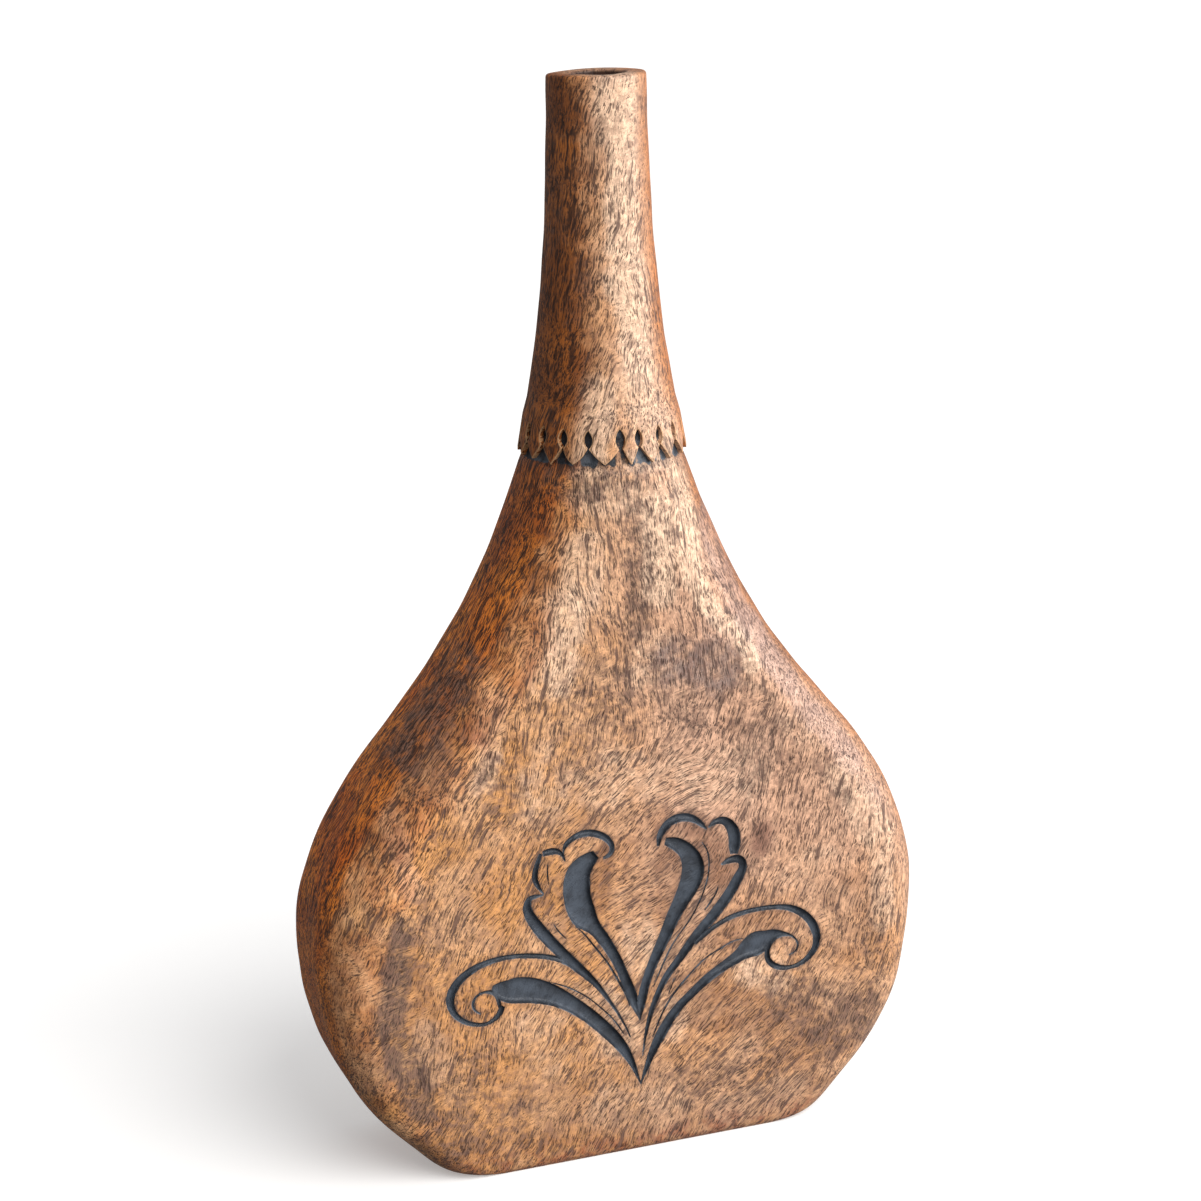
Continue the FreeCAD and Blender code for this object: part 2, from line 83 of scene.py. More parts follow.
# ---------------------------------------------------------------- carved ornament
# Each cut is a list of stations along its middle line: x, z and the width of the cut there.
CUTS = {
    "left_leaf_gouge": [
        (-16.4, 122.3, 3.6), (-20.2, 119.6, 7.2), (-23.0, 116.4, 9.4), (-24.1, 111.5, 10.4),
        (-23.8, 106.0, 10.4), (-22.4, 101.0, 10.2), (-20.4, 97.2, 8.8), (-17.6, 93.6, 5.6),
        (-15.0, 90.0, 4.8), (-12.0, 85.2, 4.3), (-9.2, 79.8, 4.0), (-6.8, 74.2, 3.8),
        (-4.9, 69.2, 3.9), (-3.2, 64.6, 3.8), (-1.9, 60.2, 3.2), (-0.9, 56.8, 1.8),
        (0.0, 53.6, 0.4),
    ],
    "right_leaf_gouge": [
        (10.8, 123.4, 2.8), (14.2, 122.2, 4.6), (17.9, 119.6, 5.8), (20.6, 116.0, 7.4),
        (21.9, 111.6, 8.8), (21.3, 107.0, 8.9), (19.2, 102.4, 7.8), (16.8, 98.2, 6.6),
        (14.2, 93.6, 5.8), (11.7, 88.4, 5.2), (9.3, 83.4, 4.7), (6.9, 78.4, 4.3),
        (4.7, 73.4, 3.9), (2.9, 68.8, 3.7), (1.5, 64.4, 3.6), (0.7, 60.2, 3.2),
        (0.2, 56.8, 1.9), (0.0, 53.4, 0.4),
    ],
    "left_leaf_top": [
        (-29.0, 124.6, 0.5), (-28.1, 127.4, 1.7), (-25.2, 129.8, 2.3), (-21.0, 131.0, 2.7),
        (-17.0, 130.5, 2.7), (-13.6, 128.9, 2.6), (-11.0, 126.5, 2.3), (-10.0, 123.7, 1.9),
        (-11.1, 121.5, 1.6), (-13.6, 120.4, 1.1),
    ],
    "left_leaf_lobe": [
        (-28.4, 121.4, 0.5), (-29.3, 123.9, 1.3), (-31.3, 125.6, 2.2), (-34.2, 126.0, 2.6),
        (-36.9, 125.5, 2.2),
    ],
    "left_leaf_side": [
        (-37.6, 125.8, 1.4), (-39.1, 121.6, 2.0), (-40.0, 117.6, 2.3), (-39.7, 114.8, 2.0),
        (-38.4, 112.2, 1.3), (-36.8, 109.8, 0.5),
    ],
    "left_leaf_edge": [
        (-36.9, 109.6, 0.6), (-39.6, 109.4, 1.5), (-42.2, 108.7, 2.3), (-43.3, 106.0, 3.2),
        (-42.7, 103.0, 3.8), (-41.0, 99.6, 4.3), (-38.4, 95.7, 4.6), (-35.0, 91.2, 4.5),
        (-31.0, 86.3, 4.3), (-26.6, 81.4, 4.0), (-22.4, 76.9, 3.4), (-18.4, 72.4, 2.6),
        (-15.2, 68.2, 2.0), (-12.6, 64.2, 1.5), (-10.2, 60.3, 1.1), (-8.0, 56.3, 0.9),
        (-5.8, 51.8, 0.7), (-3.8, 46.8, 0.4),
    ],
    "right_leaf_top": [
        (8.1, 121.9, 1.0), (8.6, 125.2, 2.3), (10.4, 128.4, 3.1), (13.5, 130.9, 3.3),
        (17.2, 131.7, 3.3), (21.0, 131.0, 2.9), (24.0, 129.2, 2.3), (26.2, 127.1, 1.5),
        (27.6, 125.6, 0.5),
    ],
    "right_leaf_lobe": [
        (28.2, 126.2, 0.5), (30.6, 127.8, 2.2), (33.7, 128.2, 2.9), (36.3, 126.5, 3.7),
        (38.1, 123.5, 4.5), (38.8, 119.8, 4.8), (38.7, 116.4, 4.2), (38.5, 114.2, 3.0),
    ],
    "right_leaf_edge": [
        (33.2, 110.8, 0.6), (35.4, 111.6, 2.0), (38.3, 112.2, 2.9), (40.9, 111.6, 3.0),
        (42.0, 108.9, 3.3), (40.4, 105.0, 4.2), (38.2, 101.2, 4.5), (35.5, 97.3, 4.6),
        (32.2, 93.3, 4.6), (28.6, 89.5, 4.4), (24.2, 85.2, 4.2), (19.7, 80.2, 3.7),
        (15.6, 74.9, 3.3), (11.5, 70.0, 2.9), (8.4, 65.0, 2.6), (6.0, 60.0, 2.3),
        (4.2, 55.0, 1.9), (2.9, 50.0, 1.5), (1.8, 44.6, 0.9), (1.0, 38.6, 0.4),
    ],
    "left_scroll_gouge": [
        (-57.6, 76.2, 1.8), (-55.0, 75.4, 5.8), (-52.0, 74.3, 8.8), (-47.5, 73.7, 10.2),
        (-42.8, 72.8, 9.9), (-38.0, 71.1, 9.0), (-33.4, 68.8, 7.8), (-28.8, 65.8, 6.7),
        (-24.2, 62.2, 5.9), (-19.4, 57.9, 5.5), (-14.9, 53.2, 5.4), (-10.8, 48.5, 5.1),
        (-7.6, 44.2, 4.4), (-5.0, 39.8, 3.4), (-2.9, 35.3, 2.2), (-1.3, 31.0, 1.2),
        (0.0, 27.2, 0.4),
    ],
    "left_scroll_line": [
        (-24.2, 78.0, 1.6), (-28.5, 81.4, 2.0), (-33.0, 83.9, 2.0), (-38.2, 85.6, 2.0),
        (-44.0, 86.8, 2.0), (-50.0, 87.4, 1.9), (-55.5, 87.2, 2.1), (-60.5, 86.3, 2.4),
        (-65.2, 84.6, 2.9), (-69.2, 82.0, 3.3), (-72.2, 78.6, 3.5), (-73.6, 74.6, 3.3),
        (-73.1, 70.5, 2.7), (-71.0, 67.0, 2.2), (-68.0, 64.5, 1.9), (-64.4, 63.0, 1.6),
        (-60.6, 62.5, 1.4), (-57.3, 63.7, 1.8), (-55.0, 65.9, 2.2), (-54.0, 68.6, 2.4),
    ],
    "left_scroll_curl": [
        (-62.3, 66.9, 0.5), (-64.3, 68.6, 0.9), (-65.0, 71.2, 1.1), (-63.8, 73.7, 1.0),
        (-61.2, 75.0, 1.0), (-58.4, 74.8, 1.4), (-56.1, 73.1, 1.6), (-55.2, 70.6, 1.6),
        (-55.0, 68.2, 1.2),
    ],
    "right_scroll_gouge": [
        (61.2, 69.8, 0.4), (63.7, 70.9, 0.6), (64.7, 73.3, 0.8), (63.7, 75.9, 0.8),
        (61.3, 77.8, 1.1), (58.3, 78.7, 2.4), (55.0, 78.8, 4.8), (51.2, 77.5, 8.2),
        (47.6, 76.5, 10.0), (44.6, 75.3, 8.8), (41.6, 73.6, 6.2), (38.4, 71.8, 4.9),
        (34.6, 69.9, 4.2), (30.4, 67.7, 3.9), (25.4, 64.2, 3.8), (20.2, 59.9, 3.6),
        (15.0, 55.2, 3.9), (10.5, 49.4, 4.3), (7.0, 43.6, 4.0), (4.5, 38.6, 3.0),
        (2.7, 34.0, 2.1), (1.2, 30.4, 1.2), (0.0, 27.2, 0.4),
    ],
    "right_scroll_line": [
        (22.4, 80.7, 1.5), (26.0, 83.4, 1.9), (30.2, 86.0, 1.9), (35.0, 88.2, 2.0),
        (40.0, 89.6, 2.0), (46.0, 90.4, 1.9), (52.0, 90.5, 1.9), (57.2, 90.0, 2.1),
        (62.0, 88.6, 2.6), (66.3, 86.1, 3.0), (69.8, 82.5, 3.3), (72.0, 78.4, 3.4),
        (72.7, 74.4, 3.1), (71.8, 70.7, 2.8), (69.4, 67.6, 2.5), (66.0, 65.4, 2.0),
        (62.0, 64.5, 1.7), (58.0, 64.9, 2.0), (54.6, 66.6, 2.3), (52.5, 69.3, 2.3),
        (52.1, 72.4, 2.1), (53.0, 75.2, 2.0), (54.8, 77.4, 1.6),
    ],
}
# Hairline veins scratched inside the leaves and scrolls.
VEINS = [
    [(-35.0, 121.0, 0.4), (-35.2, 117.5, 0.5), (-34.8, 113.0, 0.3)],
    [(-33.3, 97.5, 0.3), (-31.5, 94.5, 0.5), (-28.5, 91.0, 0.3)],
    [(-24.8, 95.3, 0.3), (-21.0, 91.0, 0.5), (-17.5, 86.0, 0.6), (-14.0, 81.0, 0.6),
     (-11.0, 76.0, 0.7), (-8.0, 70.0, 0.8), (-5.0, 63.5, 0.7), (-4.0, 60.0, 0.4)],
    [(25.5, 121.0, 0.3), (27.5, 117.5, 0.5), (28.3, 110.0, 0.5), (26.0, 101.0, 0.5),
     (21.0, 91.5, 0.6), (13.5, 82.0, 0.6), (8.0, 71.0, 0.6), (5.5, 66.0, 0.3)],
    [(32.0, 102.5, 0.3), (31.0, 99.5, 0.7), (28.5, 96.0, 0.7), (26.5, 93.5, 0.4)],
    [(-36.0, 75.0, 0.3), (-30.0, 72.5, 0.5), (-25.0, 69.5, 0.5), (-20.0, 65.6, 0.5),
     (-15.0, 60.6, 0.5), (-11.0, 56.0, 0.5), (-8.0, 51.5, 0.5), (-6.5, 49.0, 0.3)],
    [(42.0, 79.5, 0.3), (38.0, 79.0, 0.5), (33.0, 77.0, 0.6), (28.0, 74.8, 0.6),
     (20.0, 68.3, 0.7), (13.5, 61.5, 0.8), (8.5, 53.5, 0.7), (5.0, 45.5, 0.4)],
    [(14.0, 68.0, 0.3), (12.5, 64.0, 0.4), (11.6, 62.0, 0.3)],
]
CUT_DEPTH = 2.2
VEIN_DEPTH = 0.5
DEPTH_PER_WIDTH = 0.6
WALL_RUN = 1.5
RIM_SOFTNESS = 0.2
FAR_FROM_CUTS = -5.0


# ---------------------------------------------------------------- small mathematics
def natural_spline(knots, values, at):
    """Natural cubic spline through values (one row per knot), read at the given places."""
    knots = np.asarray(knots, float)
    values = np.asarray(values, float)
    at = np.asarray(at, float)
    gaps = np.diff(knots)
    count = len(knots)
    system = np.eye(count)
    right = np.zeros_like(values)
    for i in range(1, count - 1):
        system[i, i - 1:i + 2] = gaps[i - 1], 2 * (gaps[i - 1] + gaps[i]), gaps[i]
        slope_after = (values[i + 1] - values[i]) / gaps[i]
        slope_before = (values[i] - values[i - 1]) / gaps[i - 1]
        right[i] = 6 * (slope_after - slope_before)
    bend = np.linalg.solve(system, right)
    k = np.clip(np.searchsorted(knots, at, side="right") - 1, 0, count - 2)
    gap = gaps[k][:, None]
    before = (knots[k + 1] - at)[:, None] / gap
    after = (at - knots[k])[:, None] / gap
    curve = before * values[k] + after * values[k + 1]
    return curve + ((before**3 - before) * bend[k] + (after**3 - after) * bend[k + 1]) * gap**2 / 6


def along_spline(points, spacing):
    """Points every `spacing` mm along the natural spline through rows of x, z and more."""
    points = np.asarray(points, float)
    chord = np.hypot(*np.diff(points[:, :2], axis=0).T)
    knots = np.concatenate([[0.0], np.cumsum(chord)])
    steps = max(2, int(round(knots[-1] / spacing)))
    return natural_spline(knots, points, np.linspace(0.0, knots[-1], steps + 1))


def smooth(t):
    t = np.clip(t, 0.0, 1.0)
    return t * t * (3 - 2 * t)


# Directions, wavelengths (mm) and phases of the waves left by hand tools and sanding.
TOOL_WAVES = [
    ((0.9, 0.2, 0.3), 34.0, 0.3), ((-0.4, 0.5, 0.8), 27.0, 1.9), ((0.5, -0.7, 0.6), 21.0, 4.1),
    ((0.2, 0.6, -0.9), 16.0, 2.6), ((0.8, 0.1, -0.6), 24.0, 5.2),
]
TOOL_WAVE_HEIGHT = 0.06


def tool_marks(points):
    """Signed height in mm of the gentle unevenness of a hand-shaped surface."""
    total = np.zeros(len(points))
    for direction, length, phase in TOOL_WAVES:
        axis = np.array(direction) / np.linalg.norm(direction)
        total += np.sin(points @ axis * (2 * math.pi / length) + phase)
    return TOOL_WAVE_HEIGHT * total


def inside_polygon(points, loop):
    """True for each 2-D point inside the closed loop."""
    x, y = points[:, 0], points[:, 1]
    inside = np.zeros(len(points), bool)
    for (x0, y0), (x1, y1) in zip(loop, np.roll(loop, -1, axis=0)):
        if y0 == y1:
            continue
        crosses = (y0 > y) != (y1 > y)
        inside ^= crosses & (x < (x1 - x0) * (y - y0) / (y1 - y0) + x0)
    return inside


def triangulate(points, edges, keep):
    """Delaunay triangles over 2-D points with fixed edges; keep(centres) says which stay."""
    flat = [Vector(p) for p in points]
    out = delaunay_2d_cdt(flat, [tuple(map(int, e)) for e in edges], [], 0, 1e-6, False)
    corners = np.array([tuple(v) for v in out[0]])
    triangles = np.array([f for f in out[2] if len(f) == 3])
    chosen = keep(corners[triangles].mean(axis=1))
    return corners, triangles[chosen]


# ---------------------------------------------------------------- mesh building
class Surface:
    """Collects points, faces and the signed distance into a cut, then makes one mesh object."""

    def __init__(self):
        self.points = []
        self.faces = []
        self.cut = []
        self.count = 0

    def add(self, points, faces, cut=None):
        points = np.asarray(points, float)
        self.points.append(points)
        if cut is None:
            cut = np.full(len(points), FAR_FROM_CUTS)
        self.cut.append(np.asarray(cut, float))
        self.faces += [tuple(int(i) + self.count for i in face) for face in faces]
        self.count += len(points)

    def build(self, name, sharp_angle):
        mesh = bpy.data.meshes.new(name)
        points = np.concatenate(self.points) * MM
        mesh.from_pydata([tuple(p) for p in points], [], self.faces)
        cut = mesh.attributes.new("cut_depth", "FLOAT", "POINT")
        cut.data.foreach_set("value", np.concatenate(self.cut).astype(np.float32))
        work = bmesh.new()
        work.from_mesh(mesh)
        bmesh.ops.remove_doubles(work, verts=work.verts, dist=0.003 * MM)
        bmesh.ops.dissolve_degenerate(work, edges=work.edges, dist=0.002 * MM)
        loose = [v for v in work.verts if not v.link_faces]
        bmesh.ops.delete(work, geom=loose, context="VERTS")
        bmesh.ops.recalc_face_normals(work, faces=work.faces)
        work.to_mesh(mesh)
        work.free()
        mesh.shade_smooth()
        mesh.set_sharp_from_angle(angle=math.radians(sharp_angle))
        piece = bpy.data.objects.new(name, mesh)
        bpy.context.scene.collection.objects.link(piece)
        return piece


def grid_faces(rows, columns, closed=False):
    faces = []
    for i in range(rows - 1):
        for j in range(columns if closed else columns - 1):
            k = (j + 1) % columns
            low, high = i * columns, (i + 1) * columns
            faces.append((low + j, low + k, high + k, high + j))
    return faces


# ---------------------------------------------------------------- body halves
COLUMNS = 145
ROW_STEP = 1.7
INNER_STEP = 6.0


def half_outline(half_width, half_depth, radius):
    """Points and outward normals of half a rounded rectangle, from +X round the front to -X."""
    radius = min(radius, half_width, half_depth)
    side, arc, face = half_depth - radius, math.pi / 2 * radius, 2 * (half_width - radius)
    total = 2 * side + 2 * arc + face
    at = np.linspace(0.0, total, COLUMNS)
    mirrored = at > total / 2
    s = np.where(mirrored, total - at, at)
    turn = np.clip((s - side) / max(arc, 1e-9), 0.0, 1.0) * math.pi / 2
    flat_x = half_width - radius
    x = flat_x + radius * np.cos(turn) - np.clip(s - side - arc, 0.0, None)
    y = -np.clip(s, 0.0, side) - radius * np.sin(turn)
    normal = np.stack([np.cos(turn), -np.sin(turn)], 1)
    x = np.where(mirrored, -x, x)
    normal[:, 0] = np.where(mirrored, -normal[:, 0], normal[:, 0])
    x[COLUMNS // 2] = 0.0
    y[0] = y[-1] = 0.0
    return np.stack([x, y], 1), normal


def body_rows():
    """Rows of the whole skin: outside, spigot, bore and cavity, as (z, a, b, corner radius)."""
    outer = [(a, z, b, r) for z, a, b, r in BODY_SECTIONS]
    rows = [(z, a, min(b, -FACE_Y), r) for a, z, b, r in along_spline(outer, ROW_STEP)]
    rows[0] = BODY_SECTIONS[0]
    outside = len(rows)
    rows += [(z, r, r, r) for z, r in SHOULDER + SPIGOT]
    cavity = []
    for z, half_width, half_depth, radius in BODY_SECTIONS:
        if z > FLOOR_TOP + FACE_WALL:
            corner = max(radius - FACE_WALL, INSIDE_CORNER)
            cavity.append((half_width - SIDE_WALL, z, half_depth - FACE_WALL, corner))
    lowest = cavity[0]
    cavity.insert(0, (lowest[0] - SIDE_WALL, FLOOR_TOP, lowest[2] - INSIDE_CORNER, INSIDE_CORNER))
    cavity[-1] = (THROAT_END[1], THROAT_END[0], THROAT_END[1], THROAT_END[1])
    rows += [(z, a, b, r) for a, z, b, r in along_spline(cavity, INNER_STEP)[::-1]]
    return rows, outside


# Tool marks fade in above the base and fade out below the petals.
MARKS_FADE_IN = 10.0
MARKS_FADE_OUT = 12.0
MARKS_TOP = 258.0


def body_skin(side):
    """Skin of one half as a grid, with tool marks on the outside only."""
    rows, outside = body_rows()
    facing = (1, -side)
    points = np.empty((len(rows), COLUMNS, 3))
    for i, (z, half_width, half_depth, radius) in enumerate(rows):
        outline, normal = half_outline(half_width, half_depth, radius)
        points[i, :, :2] = outline * facing
        points[i, :, 2] = z
        if i < outside:
            fade = smooth(z / MARKS_FADE_IN) * smooth((MARKS_TOP - z) / MARKS_FADE_OUT)
            points[i, :, :2] += normal * facing * (fade * tool_marks(points[i]))[:, None]
    return points, outside


class Cut:
    """One cut as a ribbon: its middle line, its two edges and how deep it may go."""

    def __init__(self, stations, limit, ratio):
        self.path = along_spline(stations, 0.25)
        self.limit = limit
        self.ratio = ratio
        along = np.gradient(self.path[:, :2], axis=0)
        self.along = along / np.linalg.norm(along, axis=1)[:, None]
        self.across = np.stack([-self.along[:, 1], self.along[:, 0]], 1)
        half = self.path[:, 2:3] / 2
        left = self.path[:, :2] + self.across * half
        right = self.path[:, :2] - self.across * half
        self.outline = np.vstack([left, right[::-1]])
        self.widths = np.concatenate([self.path[:, 2], self.path[::-1, 2]])
        self.reach = -FAR_FROM_CUTS + self.widths.max() / 2

    def measure(self, points):
        """Signed distance inside the ribbon, and the ribbon's width at the nearest place."""
        a = self.outline
        b = np.roll(a, -1, axis=0)
        apart = ((points[:, None, :] - a[None])**2).sum(axis=2)
        nearest = apart.argmin(axis=1)
        distance = np.sqrt(apart[np.arange(len(points)), nearest])
        for shift in (-1, 0):
            k = (nearest + shift) % len(a)
            run = b[k] - a[k]
            share = ((points - a[k]) * run).sum(axis=1) / np.maximum((run * run).sum(axis=1), 1e-12)
            foot = a[k] + run * np.clip(share, 0.0, 1.0)[:, None]
            distance = np.minimum(distance, np.linalg.norm(points - foot, axis=1))
        rises = (a[None, :, 1] <= points[:, None, 1]) & (b[None, :, 1] > points[:, None, 1])
        falls = (a[None, :, 1] > points[:, None, 1]) & (b[None, :, 1] <= points[:, None, 1])
        run = b - a
        side = run[None, :, 0] * (points[:, None, 1] - a[None, :, 1])
        side = side - (points[:, None, 0] - a[None, :, 0]) * run[None, :, 1]
        turns = (rises & (side > 0)).sum(axis=1) - (falls & (side < 0)).sum(axis=1)
        return np.where(turns != 0, distance, -distance), self.widths[nearest]

    def shape(self, inside, width):
        """Depth of the cut: a soft rim, a steep wall that rounds into the floor."""
        soft = np.minimum(RIM_SOFTNESS, width / 5)
        blend = (inside + soft)**2 / (4 * soft)
        ramp = np.where(inside > soft, inside, np.where(inside < -soft, 0.0, blend))
        run = np.minimum(width / 2, WALL_RUN)
        part = 1 - (1 - np.clip(ramp / run, 0.0, 1.0))**2
        return np.minimum(self.limit, self.ratio * width) * part


def all_cuts():
    cuts = [Cut(stations, CUT_DEPTH, DEPTH_PER_WIDTH) for stations in CUTS.values()]
    return cuts + [Cut(stations, VEIN_DEPTH, 0.8) for stations in VEINS]


def cut_field(points, cuts):
    """Depth and signed inside distance of the ornament at 2-D points of the face."""
    depth = np.zeros(len(points))
    inside = np.full(len(points), FAR_FROM_CUTS)
    for cut in cuts:
        low = cut.outline.min(axis=0) + FAR_FROM_CUTS
        high = cut.outline.max(axis=0) - FAR_FROM_CUTS
        near = np.flatnonzero(((points > low) & (points < high)).all(axis=1))
        for block in np.array_split(near, max(1, len(near) // 2000)):
            if len(block):
                into, width = cut.measure(points[block])
                inside[block] = np.maximum(inside[block], into)
                depth[block] = np.maximum(depth[block], cut.shape(into, width))
    return depth, inside


def level_points(cut, level, spacing):
    """Points along both edges of a cut, moved inward by `level`."""
    stride = max(1, int(round(spacing / 0.25)))
    picked = np.unique(np.append(np.arange(0, len(cut.path), stride), len(cut.path) - 1))
    reach = cut.path[picked, 2] / 2 - level
    picked, reach = picked[reach > 0.02], reach[reach > 0.02][:, None]
    middle, across = cut.path[picked, :2], cut.across[picked]
    rows = []
    for side in (-1, 1):
        row = middle + side * across * reach
        for _ in range(2):
            if len(row):
                off = cut.measure(row)[0] - level
                row = row + side * across * np.clip(off, -0.5, 0.5)[:, None]
        rows.append(row)
    for end, forward in ((0, -1), (len(cut.path) - 1, 1)):
        half = cut.path[end, 2] / 2
        for share in np.linspace(-1, 1, max(2, int(half * 4))):
            place = cut.path[end, :2] + share * half * cut.across[end]
            rows.append((place - forward * level * cut.along[end])[None])
    return np.vstack(rows)


def ornament_points(cuts):
    """Points that follow the rim, the wall and the floor edge of every cut."""
    kept = []
    for cut in cuts:
        half = cut.path[:, 2].max() / 2
        fine = [-0.12, 0.0, 0.12]
        full = [-0.45, -0.2, 0.0, 0.2, 0.5, 0.95, WALL_RUN]
        for level in fine if cut.limit < 1.0 else full:
            if level < half:
                row = level_points(cut, level, 0.55)
                inside = cut_field(row, cuts)[1]
                kept.append(row[inside < level + 0.06])
        narrow = cut.path[::3, 2] / 2 <= WALL_RUN + 0.3
        kept.append(cut.path[::3, :2][narrow])
    return np.vstack(kept)


def thin_out(points, least):
    """Drops points nearer than `least` to an earlier one."""
    taken = {}
    kept = []
    for x, z in points:
        cell = (int(x // least), int(z // least))
        near = False
        for i in (-1, 0, 1):
            for j in (-1, 0, 1):
                for px, pz in taken.get((cell[0] + i, cell[1] + j), ()):
                    near = near or (px - x)**2 + (pz - z)**2 < least * least
        if not near:
            taken.setdefault(cell, []).append((x, z))
            kept.append((x, z))
    return np.array(kept)


# The part of the face that carries the carving, and the pitch of its plain mesh.
WINDOW_LOW = 16.0
WINDOW_HIGH = 146.0
WINDOW_MARGIN = 3.0
PANEL_PITCH = 2.3
PANEL_GAP = 1.1
LEAST_APART = 0.16


def window_mask(points, outside):
    """True for the outer quads that the finely meshed ornament panel replaces."""
    x, z = points[..., 0], points[..., 2]
    flat = np.abs(points[..., 1] - FACE_Y) < 0.8
    heights = [section[0] for section in BODY_SECTIONS]
    limits = [section[1] - section[3] - WINDOW_MARGIN for section in BODY_SECTIONS]
    edge = np.interp(z, heights, limits)
    good = flat & (np.abs(x) < edge) & (z > WINDOW_LOW) & (z < WINDOW_HIGH)
    good[outside:] = False
    return good[:-1, :-1] & good[1:, :-1] & good[:-1, 1:] & good[1:, 1:]


def ornament_panel(surface, points, mask):
    """Fine mesh of the carved part of the face, joined to the grid round it."""
    sides = {}
    for i, j in zip(*np.nonzero(mask)):
        ring = [(i, j), (i, j + 1), (i + 1, j + 1), (i + 1, j)]
        for a, b in zip(ring, ring[1:] + ring[:1]):
            key = (min(a, b), max(a, b))
            sides[key] = sides.get(key, 0) + 1
    border = [key for key, count in sides.items() if count == 1]
    names = sorted({corner for key in border for corner in key})
    number = {corner: k for k, corner in enumerate(names)}
    rim = np.array([points[corner] for corner in names])
    linked = {}
    for a, b in border:
        linked.setdefault(a, []).append(b)
        linked.setdefault(b, []).append(a)
    loop = [names[0], linked[names[0]][0]]
    while len(loop) < len(names):
        step = [c for c in linked[loop[-1]] if c != loop[-2]][0]
        loop.append(step)
    outline = np.array([points[corner][[0, 2]] for corner in loop])

    cuts = all_cuts()
    fine = thin_out(ornament_points(cuts), LEAST_APART)
    low, high = outline.min(axis=0), outline.max(axis=0)
    lattice = []
    for k, z in enumerate(np.arange(low[1], high[1], PANEL_PITCH * math.sqrt(3) / 2)):
        first = low[0] + PANEL_PITCH / 2 * (k % 2)
        lattice += [(x, z) for x in np.arange(first, high[0], PANEL_PITCH)]
    lattice = np.array(lattice)
    room = cut_field(lattice, cuts)[1]
    lattice = lattice[(room < -1.2) | (room > WALL_RUN + 0.6)]
    inner = inside_polygon(lattice, outline)
    for step in ((PANEL_GAP, 0), (-PANEL_GAP, 0), (0, PANEL_GAP), (0, -PANEL_GAP)):
        inner &= inside_polygon(lattice + step, outline)
    flat = np.vstack([rim[:, [0, 2]], fine, lattice[inner]])
    edges = [(number[a], number[b]) for a, b in border]
    corners, triangles = triangulate(flat, edges, lambda c: inside_polygon(c, outline))
    depth, inside = cut_field(corners, cuts)
    solid = np.insert(corners, 1, FACE_Y, axis=1)
    solid[:, 1] = FACE_Y - tool_marks(solid) + depth
    solid[:len(rim)] = rim
    surface.add(solid, triangles, inside)


DOWEL_PLACES = [(107.0, 75.0), (67.0, 180.0)]
DOWEL_HOLE_R = 3.1
DOWEL_HOLE_DEPTH = 10.3


def glue_face(surface, points, side):
    """Flat face at y = 0 between the outer outline and the cavity, with the dowel holes."""
    right = points[:, 0]
    left = points[:, -1]
    loop = np.vstack([right, left[::-1]])[:, [0, 2]]
    holes = []
    for sign in (-1, 1):
        for x, z in DOWEL_PLACES:
            turn = np.linspace(0, 2 * math.pi, 24, endpoint=False)
            round_hole = DOWEL_HOLE_R * np.stack([np.cos(turn), np.sin(turn)], 1)
            holes.append(round_hole + (sign * x, z))
    flat = np.vstack([loop] + holes)
    edges = [(k, (k + 1) % len(loop)) for k in range(len(loop))]
    start = len(loop)
    for hole in holes:
        edges += [(start + k, start + (k + 1) % len(hole)) for k in range(len(hole))]
        start += len(hole)

    def keep(centres):
        wanted = inside_polygon(centres, loop)
        for hole in holes:
            wanted &= ~inside_polygon(centres, hole)
        return wanted

    corners, triangles = triangulate(flat, edges, keep)
    surface.add(np.insert(corners, 1, 0.0, axis=1), triangles)
    for hole in holes:
        count = len(hole)
        ends = [np.insert(hole, 1, y, axis=1) for y in (0.0, side * DOWEL_HOLE_DEPTH)]
        faces = grid_faces(2, count, closed=True) + [tuple(range(count, 2 * count))]
        surface.add(np.vstack(ends), faces)


def body_half(name, side):
    """Closed hollow half: side -1 is the carved front, +1 the plain back."""
    points, outside = body_skin(side)
    surface = Surface()
    rows, columns = points.shape[:2]
    faces = grid_faces(rows, columns)
    if side < 0:
        mask = window_mask(points, outside)
        faces = [face for face, hidden in zip(faces, mask.ravel()) if not hidden]
    surface.add(points.reshape(-1, 3), faces)
    if side < 0:
        ornament_panel(surface, points, mask)
    for end in (0, -1):
        surface.add(points[end], [tuple(range(columns))])
    glue_face(surface, points, side)
    return surface.build(name, 38)


# ---------------------------------------------------------------- neck
AROUND = 160
UNROLL_R = 30.0
EDGE_DROP = 0.3
EDGE_RUN = 0.8
EDGE_WALL = -0.3
SEAM_ANGLE = 200.0
RIM_ROUND = 1.2
RIM_TILT = 0.3
WORN_RIM = 12.0
NECK_STEP = 2.4
BORE_FIRST_ROW = 392.0
SKIRT_MID_Z = 284.8
LATTICE_PITCH = 1.7


def skirt_radius(z):
    """Outer radius of the skirt and of the neck just above it."""
    below = (z - SKIRT_BOTTOM) / (SKIRT_LIP - SKIRT_BOTTOM)
    above = (z - SKIRT_LIP) / (SEAT_Z - SKIRT_LIP)
    return np.where(
        z < SKIRT_LIP,
        SKIRT_BOTTOM_R + (SKIRT_LIP_R - SKIRT_BOTTOM_R) * below,
        SKIRT_LIP_R + (NECK_OUTLINE[0][0] - SKIRT_LIP_R) * above,
    )


def skirt_inner_radius(z):
    share = (z - SKIRT_BOTTOM) / (SEAT_Z - SKIRT_BOTTOM)
    return SKIRT_INNER_R + (SEAT_INNER_R - SKIRT_INNER_R) * share


